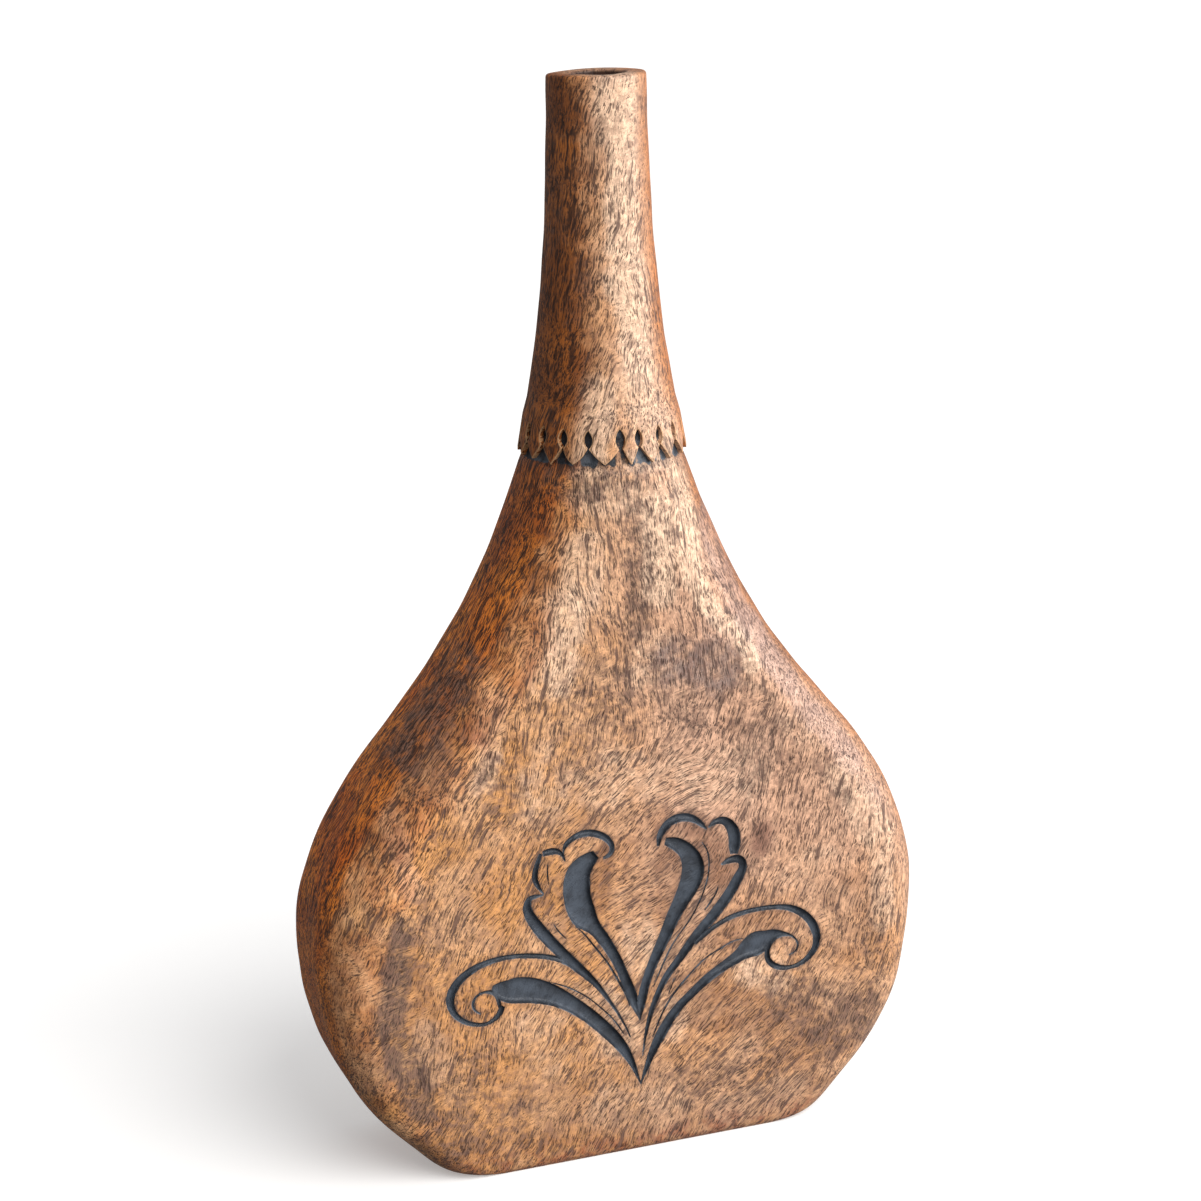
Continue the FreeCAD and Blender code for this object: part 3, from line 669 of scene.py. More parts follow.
# A slot as it was meant: its width, top and waist, and the gap left open at the waist.
SLOT_WIDTH = 3.5
SLOT_TOP = 278.8
SLOT_WAIST = 272.0
SLOT_GAP = 0.35


class Slot:
    """One leaf-shaped slot: its angle, width, top and waist, uneven as hand cutting leaves it."""

    def __init__(self, index, chance):
        self.angle = FIRST_SLOT + 360.0 / PETALS * index + chance.uniform(-0.5, 0.5)
        self.width = SLOT_WIDTH + chance.uniform(-0.3, 0.35)
        self.top = SLOT_TOP + chance.uniform(-0.35, 0.3)
        self.waist = SLOT_WAIST + chance.uniform(-0.35, 0.35)
        self.gap = SLOT_GAP + chance.uniform(-0.1, 0.25)
        self.lean = chance.uniform(-0.25, 0.25)

    def edge(self, u, side):
        """One side of the slot, at place u round the skirt, from its waist up to its top."""
        out = []
        for turn in np.linspace(0.0, 1.0, 17):
            bulge = math.sin(math.pi * turn)**0.8 * (self.width - self.gap) / 2
            bulge += self.gap / 2 * (1 - turn)
            height = self.waist + (self.top - self.waist) * turn
            out.append((u + side * bulge + self.lean * turn, height))
        return out


def skirt_slots():
    """Slots in order round the skirt; the last is broken out wide and the first gapes."""
    chance = np.random.default_rng(41)
    slots = [Slot(index, chance) for index in range(PETALS)]
    broken = slots[PETALS - 1]
    broken.angle = FIRST_SLOT - 13.0 + 360.0
    broken.width = 4.4
    broken.top = 279.0
    broken.gap = 1.5
    slots[0].gap = 1.0
    return sorted(slots, key=lambda slot: slot.angle % 360.0)


def skirt_outline():
    """Scalloped lower outline of the unrolled skirt, from the seam round to the seam again."""
    slots = skirt_slots()
    angles = [slot.angle % 360.0 for slot in slots]
    start = min(range(PETALS), key=lambda k: (angles[k] - SEAM_ANGLE) % 360.0)
    order = slots[start:] + slots[:start]
    points = []
    chance = np.random.default_rng(7)
    tips = [SKIRT_BOTTOM - 1.6 + chance.uniform(0.0, 1.0) for _ in order]
    places = []
    for slot in order:
        angle = slot.angle % 360.0
        while places and angle < places[-1]:
            angle += 360.0
        places.append(angle)
    first_tip = (places[0] + places[-1] - 360.0) / 2
    tip_angles = [first_tip] + [(a + b) / 2 for a, b in zip(places, places[1:])] + [first_tip + 360.0]
    tips.append(tips[0])
    bows = [chance.uniform(-0.35, 0.5) for _ in order]
    bows.append(bows[0])
    shifts = [0.0] + [chance.uniform(-0.7, 0.7) for _ in order[1:]] + [0.0]
    for k, slot in enumerate(order):
        u = math.radians(places[k]) * UNROLL_R
        tip_u = math.radians(tip_angles[k]) * UNROLL_R + shifts[k]
        next_u = math.radians(tip_angles[k + 1]) * UNROLL_R + shifts[k + 1]
        points.append((tip_u, tips[k]))
        points += petal_side(tip_u, tips[k], u - slot.gap / 2, slot.waist, bows[k])
        points += slot.edge(u, -1) + slot.edge(u, 1)[-2::-1]
        points += petal_side(next_u, tips[k + 1], u + slot.gap / 2, slot.waist, bows[k + 1])[::-1]
    points.append((math.radians(tip_angles[-1]) * UNROLL_R, tips[-1]))
    clean = [points[0]]
    for point in points[1:]:
        if math.dist(point, clean[-1]) > 0.12:
            clean.append(point)
    return np.array(clean)


def petal_side(tip_u, tip_z, waist_u, waist_z, bow):
    """Side of a petal from its tip up to its waist: rounded by bow, or hollowed if below 0."""
    direction = 1 if waist_u > tip_u else -1
    out = []
    for t in np.linspace(0.0, 1.0, 9)[1:-1]:
        swell = bow * math.sin(math.pi * t)
        u = tip_u + (waist_u - tip_u) * t + direction * swell
        out.append((u, tip_z + (waist_z - tip_z) * t - swell))
    return out


def wrap(flat, radius):
    """Unrolled points put back on the round, at the given radius."""
    turn = flat[:, 0] / UNROLL_R
    return np.stack([radius * np.sin(turn), -radius * np.cos(turn), flat[:, 1]], 1)


def distance_to_path(points, path):
    """Shortest distance from each 2-D point to an open run of straight pieces."""
    best = np.full(len(points), 1e9)
    for a, b in zip(path, path[1:]):
        along = b - a
        t = np.clip(((points - a) @ along) / max(along @ along, 1e-12), 0.0, 1.0)
        best = np.minimum(best, np.linalg.norm(points - a - t[:, None] * along, axis=1))
    return best


def neck_profile():
    """Rows of radius and height from the skirt's top up, over the rim, down the bore to the seat."""
    lower = [(float(skirt_radius(np.array(z))), z) for z in (SKIRT_JOIN_Z, SKIRT_MID_Z, SEAT_Z)]
    side = [(r, z) for r, z in along_spline(NECK_OUTLINE, NECK_STEP)[1:]]
    top_r, side_z = NECK_OUTLINE[-1]
    rim = []
    for turn in np.linspace(0.0, math.pi / 2, 6)[1:]:
        rim.append((top_r - RIM_ROUND * (1 - math.cos(turn)), side_z + RIM_ROUND * math.sin(turn)))
    for turn in np.linspace(0.0, math.pi / 2, 5):
        rim.append((BORE_R + RIM_ROUND * (1 - math.sin(turn)), side_z + RIM_ROUND * math.cos(turn)))
    bore = [(BORE_R, z) for z in np.linspace(BORE_FIRST_ROW, SOCKET_TOP, 16)]
    socket = [(SOCKET_R, SOCKET_TOP), (SOCKET_R, SEAT_Z), (SEAT_INNER_R, SEAT_Z)]
    inner = [(float(skirt_inner_radius(SKIRT_JOIN_Z)), SKIRT_JOIN_Z)]
    return lower + side + rim + bore + socket + inner


def neck_tube(surface, seam):
    """The turned neck from the skirt's top up, over the worn rim and down the bore."""
    profile = neck_profile()
    top_r = NECK_OUTLINE[-1][0]
    turns = seam + np.linspace(0.0, 2 * math.pi, AROUND + 1)
    rows = []
    for radius, z in profile:
        row = np.stack([radius * np.sin(turns), -radius * np.cos(turns), np.full(len(turns), z)], 1)
        if radius > BORE_R + 0.1 and SEAT_Z + 4 < z < HEIGHT and radius != SOCKET_R:
            outward = row * (1, 1, 0) / radius
            fade = smooth((z - SEAT_Z - 4) / 20.0) * smooth((HEIGHT - z) / 8.0)
            row += outward * (fade * tool_marks(row))[:, None] * 0.8
        if z > HEIGHT - WORN_RIM:
            worn = smooth((z - HEIGHT + WORN_RIM) / WORN_RIM)
            lowered = 0.1 + 0.14 * np.sin(2 * turns + 0.8) + 0.12 * np.sin(3 * turns + 2.2)
            tilted = RIM_TILT * (1 + row[:, 0] / top_r)
            row[:, 2] += worn * (tilted - np.clip(lowered, 0.0, None))
        rows.append(row)
    surface.add(np.array(rows).reshape(-1, 3), grid_faces(len(profile), AROUND + 1))


def skirt_lattice(outline, loop):
    """Points inside the unrolled skirt: two rows beside its cut edge, and a lattice."""
    u0, u1 = outline[0, 0], outline[-1, 0]
    along = np.gradient(outline, axis=0)
    along /= np.linalg.norm(along, axis=1)[:, None]
    inward = np.stack([-along[:, 1], along[:, 0]], 1)
    beside = [outline + inward * step for step in (0.3, EDGE_RUN)]
    lattice = []
    for k, z in enumerate(np.arange(SKIRT_BOTTOM + 0.5, SKIRT_JOIN_Z - 0.6, LATTICE_PITCH * 0.87)):
        first = u0 + 0.9 + LATTICE_PITCH / 2 * (k % 2)
        lattice += [(u, z) for u in np.arange(first, u1 - 0.8, LATTICE_PITCH)]
    free = np.vstack(beside + [np.array(lattice)])
    free = free[inside_polygon(free, loop)]
    free = thin_out(free[distance_to_path(free, outline) > 0.27], 0.28)
    return free[np.minimum(free[:, 0] - u0, u1 - free[:, 0]) > 0.5]


def petal_skirt(surface, outline):
    """The thin skirt with its petals: outer skin, inner skin and the wall of the cut edge."""
    u0, u1 = outline[0, 0], outline[-1, 0]
    top = np.stack([np.linspace(u0, u1, AROUND + 1), np.full(AROUND + 1, SKIRT_JOIN_Z)], 1)
    heights = np.arange(outline[0, 1] + 1.3, SKIRT_JOIN_Z - 0.5, 1.5)
    ends = [np.stack([np.full(len(heights), u), heights], 1) for u in (u0, u1)]
    loop = np.vstack([outline, ends[1], top[::-1], ends[0][::-1]])
    edges = [(k, (k + 1) % len(loop)) for k in range(len(loop))]
    flat = np.vstack([loop, skirt_lattice(outline, loop)])
    corners, triangles = triangulate(flat, edges, lambda c: inside_polygon(c, loop))
    apart = distance_to_path(corners, outline)
    drop = EDGE_DROP * (1 - np.clip(apart / EDGE_RUN, 0.0, 1.0))**2
    surface.add(wrap(corners, skirt_radius(corners[:, 1]) - drop), triangles, EDGE_WALL - apart)
    surface.add(wrap(corners, skirt_inner_radius(corners[:, 1])), triangles[:, ::-1])
    wall = np.vstack([
        wrap(outline, skirt_radius(outline[:, 1]) - EDGE_DROP),
        wrap(outline, skirt_inner_radius(outline[:, 1])),
    ])
    surface.add(wall, grid_faces(2, len(outline)), np.full(len(wall), EDGE_WALL))


def neck_piece(name):
    surface = Surface()
    outline = skirt_outline()
    neck_tube(surface, outline[0, 0] / UNROLL_R)
    petal_skirt(surface, outline)
    return surface.build(name, 40)


# ---------------------------------------------------------------- where the wood changes, and where light and shade are painted
# Direction of the grain on the faces: x, z and the angle from +X up towards +Z, in degrees.
GRAIN = [
    (-100, 90, 68), (-95, 140, 58), (-60, 190, 57), (-45, 230, 60), (-62, 60, 72), (-40, 30, 68),
    (0, 15, 60), (40, 30, 42), (18, 50, 38), (80, 50, 52), (0, 100, 24), (-2, 75, 38),
    (-20, 140, 30), (20, 145, 22), (-32, 172, 80), (0, 180, 92), (22, 200, 98), (-10, 222, 95),
    (0, 250, 98), (45, 170, 85), (60, 130, 78), (90, 100, 76), (100, 70, 78), (60, 95, 66),
    (-62, 110, 66), (-35, 150, 75), (-12, 300, 64), (-16, 350, 74), (12, 320, 90),
    (12, 380, 86), (-12, 390, 84),
]
GRAIN_STEPS = (22.0, 42.0, 60.0, 76.0, 96.0)
# Stain on the body behind the petals, with painted shade under the skirt: heights, and the depth value
# that stands for its strength.
RECESS_STAIN_AND_SHADE_Z = [250.0, 261.0, 266.2, 269.5, 273.5]
RECESS_STAIN_AND_SHADE = [FAR_FROM_CUTS, -2.0, 0.0, 1.2, 0.15]

# Bands of colour on the faces. Each is x and z of its two ends, its half width and its amount.
# Grey-brown bands are old wax and stain.
GREY_BANDS = [
    (0, 246, 2, 206, 4, 0.65), (17, 193, 30, 187, 8, 0.8), (29, 186, 35, 178, 6, 0.6),
    (-60, 196, -80, 164, 4, 0.6), (18, 184, 20, 170, 7, 0.5), (-8, 192, -6, 164, 7, 0.5),
    (47, 166, 52, 148, 7, 0.55), (-24, 186, -26, 156, 6, 0.45), (-57, 161, -50, 147, 5, 0.5),
    (-82, 112, -80, 90, 5, 0.35), (-92, 106, -97, 66, 4, 0.95), (-96, 66, -86, 36, 4, 0.85),
    (-86, 36, -70, 16, 5, 0.6), (73, 145, 81, 130, 4, 0.5), (97, 76, 98, 50, 3, 0.5),
    (92, 40, 80, 33, 8, 0.75), (62, 54, 92, 40, 8, 0.65), (-22, 261, 2, 258, 4, 0.6),
    (6, 250, 14, 240, 3, 0.3), (-78, 164, -72, 172, 5, 0.5), (-68, 46, -74, 34, 7, 0.5),
    (22, 26, 50, 26, 7, 0.45), (-60, 20, -50, 24, 8, 0.35), (10, 180, 12, 164, 6, 0.35),
    (50, 106, 56, 100, 6, 0.3), (-13, 350, -16, 338, 3, 0.6), (-19, 366, -17, 350, 3, 0.7),
    (-11, 330, -12, 318, 4, 0.6), (-12, 290, -9, 284, 3, 0.5), (9, 386, 10, 376, 4, 0.4),
    (12, 330, 12, 322, 4, 0.4),
]
# Darker places: partly darker wood, partly painted shade on the left side, near the bottom and beside
# the gouges inside the leaves.
DARK_AND_SHADE_BANDS = [
    (-62, 6, 70, 8, 9, 0.65), (-78, 18, -66, 2, 8, 0.7), (-50, 24, 60, 16, 10, 0.5),
    (64, 28, 90, 40, 9, 0.6), (-60, 36, 20, 20, 12, 0.35), (-36, 134, -24, 134, 6, 0.5),
    (0, 124, 4, 104, 9, 0.4), (26, 126, 35, 108, 5, 0.8), (-15, 120, -17, 104, 3, 0.8),
    (12, 128, 13, 100, 5, 0.7), (22, 86, 34, 80, 4, 0.6), (-36, 110, -32, 96, 5, 0.4),
    (30, 85, 62, 82, 4, 0.5), (28, 52, 66, 42, 8, 0.7), (14, 64, 26, 62, 5, 0.5),
    (-90, 88, -80, 46, 5, 0.6), (-104, 90, -102, 50, 5, 0.5), (84, 92, 92, 66, 8, 0.45),
    (-66, 76, -60, 62, 8, 0.35), (-106, 56, -104, 46, 4, 0.6), (-100, 126, -101, 96, 4, 0.6),
    (-114, 104, -112, 66, 4, 0.7), (-106, 58, -98, 40, 4, 0.7), (-30, 262, -36, 226, 6, 0.7),
    (-34, 226, -42, 200, 6, 0.6), (-52, 200, -60, 178, 5, 0.4), (-66, 184, -80, 160, 7, 0.9),
    (-82, 158, -100, 128, 5, 0.6), (-46, 196, -56, 176, 5, 0.5), (-112, 106, -108, 92, 4, 0.5),
    (-16, 396, -16, 384, 3, 0.8), (-16, 346, -12, 306, 3, 0.5), (-12, 304, -16, 296, 3, 0.5),
    (-25, 298, -29, 270, 3, 0.6), (-17, 368, -18, 350, 4, 0.6), (40, 222, 66, 182, 4, 0.5),
    (28, 262, 34, 236, 4, 0.4), (44, 212, 54, 196, 5, 0.5), (-62, 130, -64, 104, 8, 0.35),
    (-7, 386, -8, 370, 3, 0.5), (-84, 112, -78, 92, 6, 0.35), (40, 160, 54, 148, 7, 0.3),
    (-28, 168, -22, 152, 6, 0.35), (10, 388, 10, 376, 4, 0.4),
]
# Paler places: partly worn wood, partly painted highlight along the right-hand ridge and down the
# middle of the neck.
PALE_AND_HIGHLIGHT_BANDS = [
    (20, 262, 22, 226, 4, 0.95), (24, 222, 35, 204, 3, 0.9), (37, 204, 45, 186, 3, 0.9),
    (48, 180, 70, 150, 4, 0.35), (82, 140, 98, 110, 5, 0.6), (98, 110, 100, 80, 4, 0.6),
    (8, 246, 8, 222, 5, 1.0), (-25, 214, -29, 194, 5, 0.8), (8, 200, 6, 192, 5, 0.5),
    (-40, 204, -36, 190, 4, 0.5), (-54, 184, -60, 160, 4, 0.6), (-92, 150, -86, 118, 3, 0.5),
    (6, 198, 14, 192, 4, 0.5), (-38, 165, -42, 158, 4, 0.4), (-18, 236, -20, 218, 5, 0.6),
    (-38, 146, 44, 146, 7, 0.45), (-8, 160, 0, 154, 4, 0.5), (-16, 256, 10, 250, 5, 0.6),
    (2, 266, 20, 266, 4, 0.7), (0, 92, 2, 76, 5, 0.5), (44, 66, 56, 62, 6, 0.6),
    (-16, 68, -8, 48, 6, 0.5), (10, 56, 14, 46, 5, 0.5), (74, 110, 66, 100, 6, 0.35),
    (0, 400, 0, 386, 6, 0.9), (3, 376, 2, 340, 4, 1.0), (4, 330, 7, 300, 5, 1.0),
    (-10, 294, -16, 268, 5, 0.8), (6, 296, 16, 272, 8, 0.6), (14, 398, 16, 330, 3, 0.4),
    (-84, 62, -80, 48, 4, 0.5), (-40, 60, -34, 44, 7, 0.35), (-12, 18, 12, 16, 8, 0.5),
    (34, 12, 62, 14, 5, 0.5), (-14, 372, -14, 366, 3, 0.4),
]
# Painted sheen: a bluish highlight painted beside the right-hand ridge, where the lacquer reflects the
# light.
PAINTED_SHEEN_BANDS = [
    (33, 240, 44, 205, 4, 0.7), (44, 205, 62, 176, 4, 0.9), (64, 174, 88, 144, 4, 0.8),
    (90, 140, 98, 124, 3, 0.5), (28, 206, 34, 199, 4, 0.6), (17, 193, 30, 187, 8, 0.6),
]
# Ochre that spreads from the left edge on to the face: partly the wood's colour, partly painted shade
# of the side turned from the light.
OCHRE_AND_SHADE_BANDS = [
    (-30, 252, -42, 210, 8, 0.5), (-46, 206, -66, 178, 9, 0.5), (-72, 170, -88, 148, 8, 0.45),
    (-92, 140, -94, 122, 8, 0.4), (-106, 96, -104, 66, 8, 0.35), (-94, 40, -86, 30, 6, 0.3),
]
# Grey and darker bands of the plain back, in the same form.
BACK_BANDS = (
    [(-20, 230, -26, 170, 12, 0.5), (40, 60, 66, 100, 14, 0.45), (-70, 40, -88, 90, 12, 0.5)],
    [(-60, 8, 60, 8, 12, 0.6), (10, 150, -14, 90, 16, 0.4), (50, 190, 84, 130, 12, 0.4)],
)
# The knot beside the right-hand leaf, in the same form.
KNOT = (50, 121, 49, 116, 3, 1.0)
BAND_WAVES = [(0.061, 0.043, 0.4), (0.093, -0.071, 2.1), (0.17, 0.11, 4.0), (-0.13, 0.21, 1.2)]


def wavering(x, z):
    """Places moved a little to and fro, so that no band has a drawn edge."""
    moved_x, moved_z = x.copy(), z.copy()
    for per_x, per_z, phase in BAND_WAVES:
        reach = 0.09 / math.hypot(per_x, per_z)
        moved_x += reach * np.sin(per_x * x + per_z * z + phase)
        moved_z += 1.6 * reach * np.sin(per_z * x - per_x * z + 2.3 * phase)
    return moved_x, moved_z


def band_field(x, z, bands):
    """Largest of a list of soft bands at each place, from 0 to 1."""
    field = np.zeros(len(x))
    for x0, z0, x1, z1, half_width, amount in bands:
        run = np.array([x1 - x0, z1 - z0], float)
        along = ((x - x0) * run[0] + (z - z0) * run[1]) / (run @ run)
        along = np.clip(along, 0.0, 1.0)
        apart = np.hypot(x - x0 - along * run[0], z - z0 - along * run[1])
        field = np.maximum(field, amount * smooth(1.5 - 0.65 * apart / half_width))
    return field


def grain_weights(x, z):
    """How much each of the grain steps counts at each place."""
    total, angle = np.zeros(len(x)), np.zeros(len(x))
    for place_x, place_z, degrees in GRAIN:
        weight = 1 / (((x - place_x)**2 + (z - place_z)**2 + 60.0)**1.6)
        total += weight
        angle += weight * degrees
    angle /= total
    steps = np.array(GRAIN_STEPS)
    place = np.interp(angle, steps, np.arange(len(steps)))
    return [np.clip(1 - np.abs(place - k), 0.0, 1.0) for k in range(len(steps))]


def paint(piece):
    """Stores on the mesh the slow changes of grain, colour and wear, and the painted highlights and
    shade, that the material reads.
    """
    mesh = piece.data
    points = np.zeros(len(mesh.vertices) * 3)
    mesh.vertices.foreach_get("co", points)
    x, y, z = (points.reshape(-1, 3) / MM).T
    grain = grain_weights(x, z)
    shown = smooth((z - 2) / 10.0)
    # Left and right turned sides. The left side's ochre is partly the wood's colour and partly painted
    # shade, for the side turned from the light.
    left = shown * smooth((30.0 - np.abs(y)) / 14.0) * smooth((1 - x) / 22)
    right = shown * smooth((27.0 - np.abs(y)) / 16.0) * smooth((x - 6) / 12)
    low = smooth((14.0 - z) / 12.0)
    moved = wavering(x, z)
    front_only = 0.2 + 0.8 * smooth((14.0 - y) / 22.0)
    left = np.maximum(left, front_only * band_field(*moved, OCHRE_AND_SHADE_BANDS))
    rows_of = (GREY_BANDS, DARK_AND_SHADE_BANDS, PALE_AND_HIGHLIGHT_BANDS, PAINTED_SHEEN_BANDS)
    bands = [front_only * band_field(*moved, rows) for rows in rows_of]
    backs = [band_field(*moved, rows) * smooth((y - 12.0) / 16.0) for rows in BACK_BANDS]
    bands[0] = np.maximum(bands[0], backs[0])
    bands[1] = np.maximum(bands[1], backs[1])
    if z.max() > HEIGHT - 5:
        # Painted shade: the bore is painted near black below the mouth, darkest on the right-hand wall
        # that the light does not reach.
        inside = smooth((12.0 - np.hypot(x, y)) / 0.8) * smooth((HEIGHT + 0.6 - z) / 1.6)
        bands[1] = np.maximum(bands[1], np.maximum(inside, 0.55 * smooth((z - HEIGHT + 1.0) / 0.8)))
        bands[0] *= 0.6
        bands[2] *= 1 - inside
        left, right = left * (1 - inside), right * (1 - inside)
        inside = inside * (0.5 + 0.5 * smooth((x + 7) / 5))
    else:
        inside = np.zeros(len(x))
        cut = np.zeros(len(x))
        depth = mesh.attributes["cut_depth"].data
        depth.foreach_get("value", cut)
        # Stain behind the petals, darkened under the skirt as painted shade.
        ragged = 0.5 * np.sin(0.9 * x + 1.3) + 0.45 * np.sin(1.9 * x + 0.4) + 0.3 * np.sin(0.37 * x)
        under_skirt = np.interp(z + ragged, RECESS_STAIN_AND_SHADE_Z, RECESS_STAIN_AND_SHADE)
        depth.foreach_set("value", np.maximum(cut, under_skirt))
    layers = {
        "grain": grain[1:],
        "bands": bands,
        "sides": [left, right, band_field(x, z, [KNOT]), low],
        "inside": [inside] * 4,
    }
    for name, channels in layers.items():
        layer = mesh.attributes.new(name, "FLOAT_COLOR", "POINT")
        layer.data.foreach_set("color", np.stack(channels, 1).astype(np.float32).ravel())


# ---------------------------------------------------------------- materials
def srgb(red, green, blue):
    """Linear colour from 8-bit display values."""
    out = []
    for value in (red, green, blue):
        v = value / 255
        out.append(v / 12.92 if v <= 0.04045 else ((v + 0.055) / 1.055)**2.4)
    return (*out, 1.0)


class Graph:
    """Short calls for making the nodes of a material or a world, and for linking them."""

    def __init__(self, owner):
        owner.use_nodes = True
        self.tree = owner.node_tree
        nodes = self.tree.nodes
        self.shader = nodes.get("Principled BSDF") or nodes["Background"]

    def node(self, kind, inputs=(), **settings):
        node = self.tree.nodes.new("ShaderNode" + kind)
        for key, value in settings.items():
            setattr(node, key, value)
        for key, value in dict(inputs).items():
            self.put(node.inputs[key], value)
        return node

    def put(self, socket, value):
        if isinstance(value, bpy.types.NodeSocket):
            self.tree.links.new(value, socket)
        else:
            socket.default_value = value

    def math(self, operation, *values):
        return self.node("Math", enumerate(values), operation=operation).outputs[0]

    def vector(self, operation, *values):
        node = self.node("VectorMath", enumerate(values), operation=operation)
        return node.outputs["Value" if operation == "DOT_PRODUCT" else "Vector"]

    def mix(self, share, first, second, blend="MIX"):
        values = {0: share, 6: first, 7: second}
        return self.node("Mix", values, data_type="RGBA", blend_type=blend).outputs[2]

    def blend(self, share, first, second):
        return self.math("MULTIPLY_ADD", share, self.math("SUBTRACT", second, first), first)

    def step(self, value, low, high, top=1.0):
        """Smooth step of a value from 0 at low to top at high."""
        values = {"Value": value, "From Min": low, "From Max": high, "To Max": top}
        return self.node("MapRange", values, interpolation_type="SMOOTHSTEP").outputs[0]

    def noise(self, vector, scale, detail=2.0, roughness=0.5):
        values = {"Vector": vector, "Scale": scale, "Detail": detail, "Roughness": roughness}
        return self.node("TexNoise", values)

    def channels(self, name):
        """The four values stored at each vertex under a name."""
        stored = self.node("Attribute", attribute_name=name)
        split = self.node("SeparateColor", {"Color": stored.outputs["Color"]}).outputs
        return split[0], split[1], split[2], stored.outputs["Alpha"]

    def shifted(self, vector, offset):
        return self.vector("ADD", vector, offset)


def grain_frame(graph, place, degrees, across, along):
    """Coordinates with X along the grain, in units of one fleck along and across it."""
    values = {"Vector": place, "Angle": math.radians(degrees)}
    turned = graph.node("VectorRotate", values, rotation_type="Y_AXIS").outputs[0]
    return graph.vector("MULTIPLY", turned, (1 / along, 1 / across, 1 / across))


def grain_layer(graph, place, degrees):
    """Fine fibres, long streaks and short dark pores that run along one grain direction."""
    close = grain_frame(graph, place, degrees, 0.52, 4.2)
    fine = graph.noise(close, 1.0, 2.0, 0.6).outputs["Fac"]
    far = grain_frame(graph, graph.shifted(place, (13.0, 41.0, 77.0)), degrees, 1.5, 17.0)
    streak = graph.noise(far, 1.0, 2.0, 0.6).outputs["Fac"]
    wide = grain_frame(graph, graph.shifted(place, (31.0, 17.0, 5.0)), degrees, 0.76, 4.2)
    cell = graph.node("TexVoronoi", {"Vector": wide, "Scale": 1.0})
    size = graph.math("MULTIPLY_ADD", cell.outputs["Color"], 0.34, 0.1)
    return fine, streak, graph.math("SUBTRACT", size, cell.outputs["Distance"])


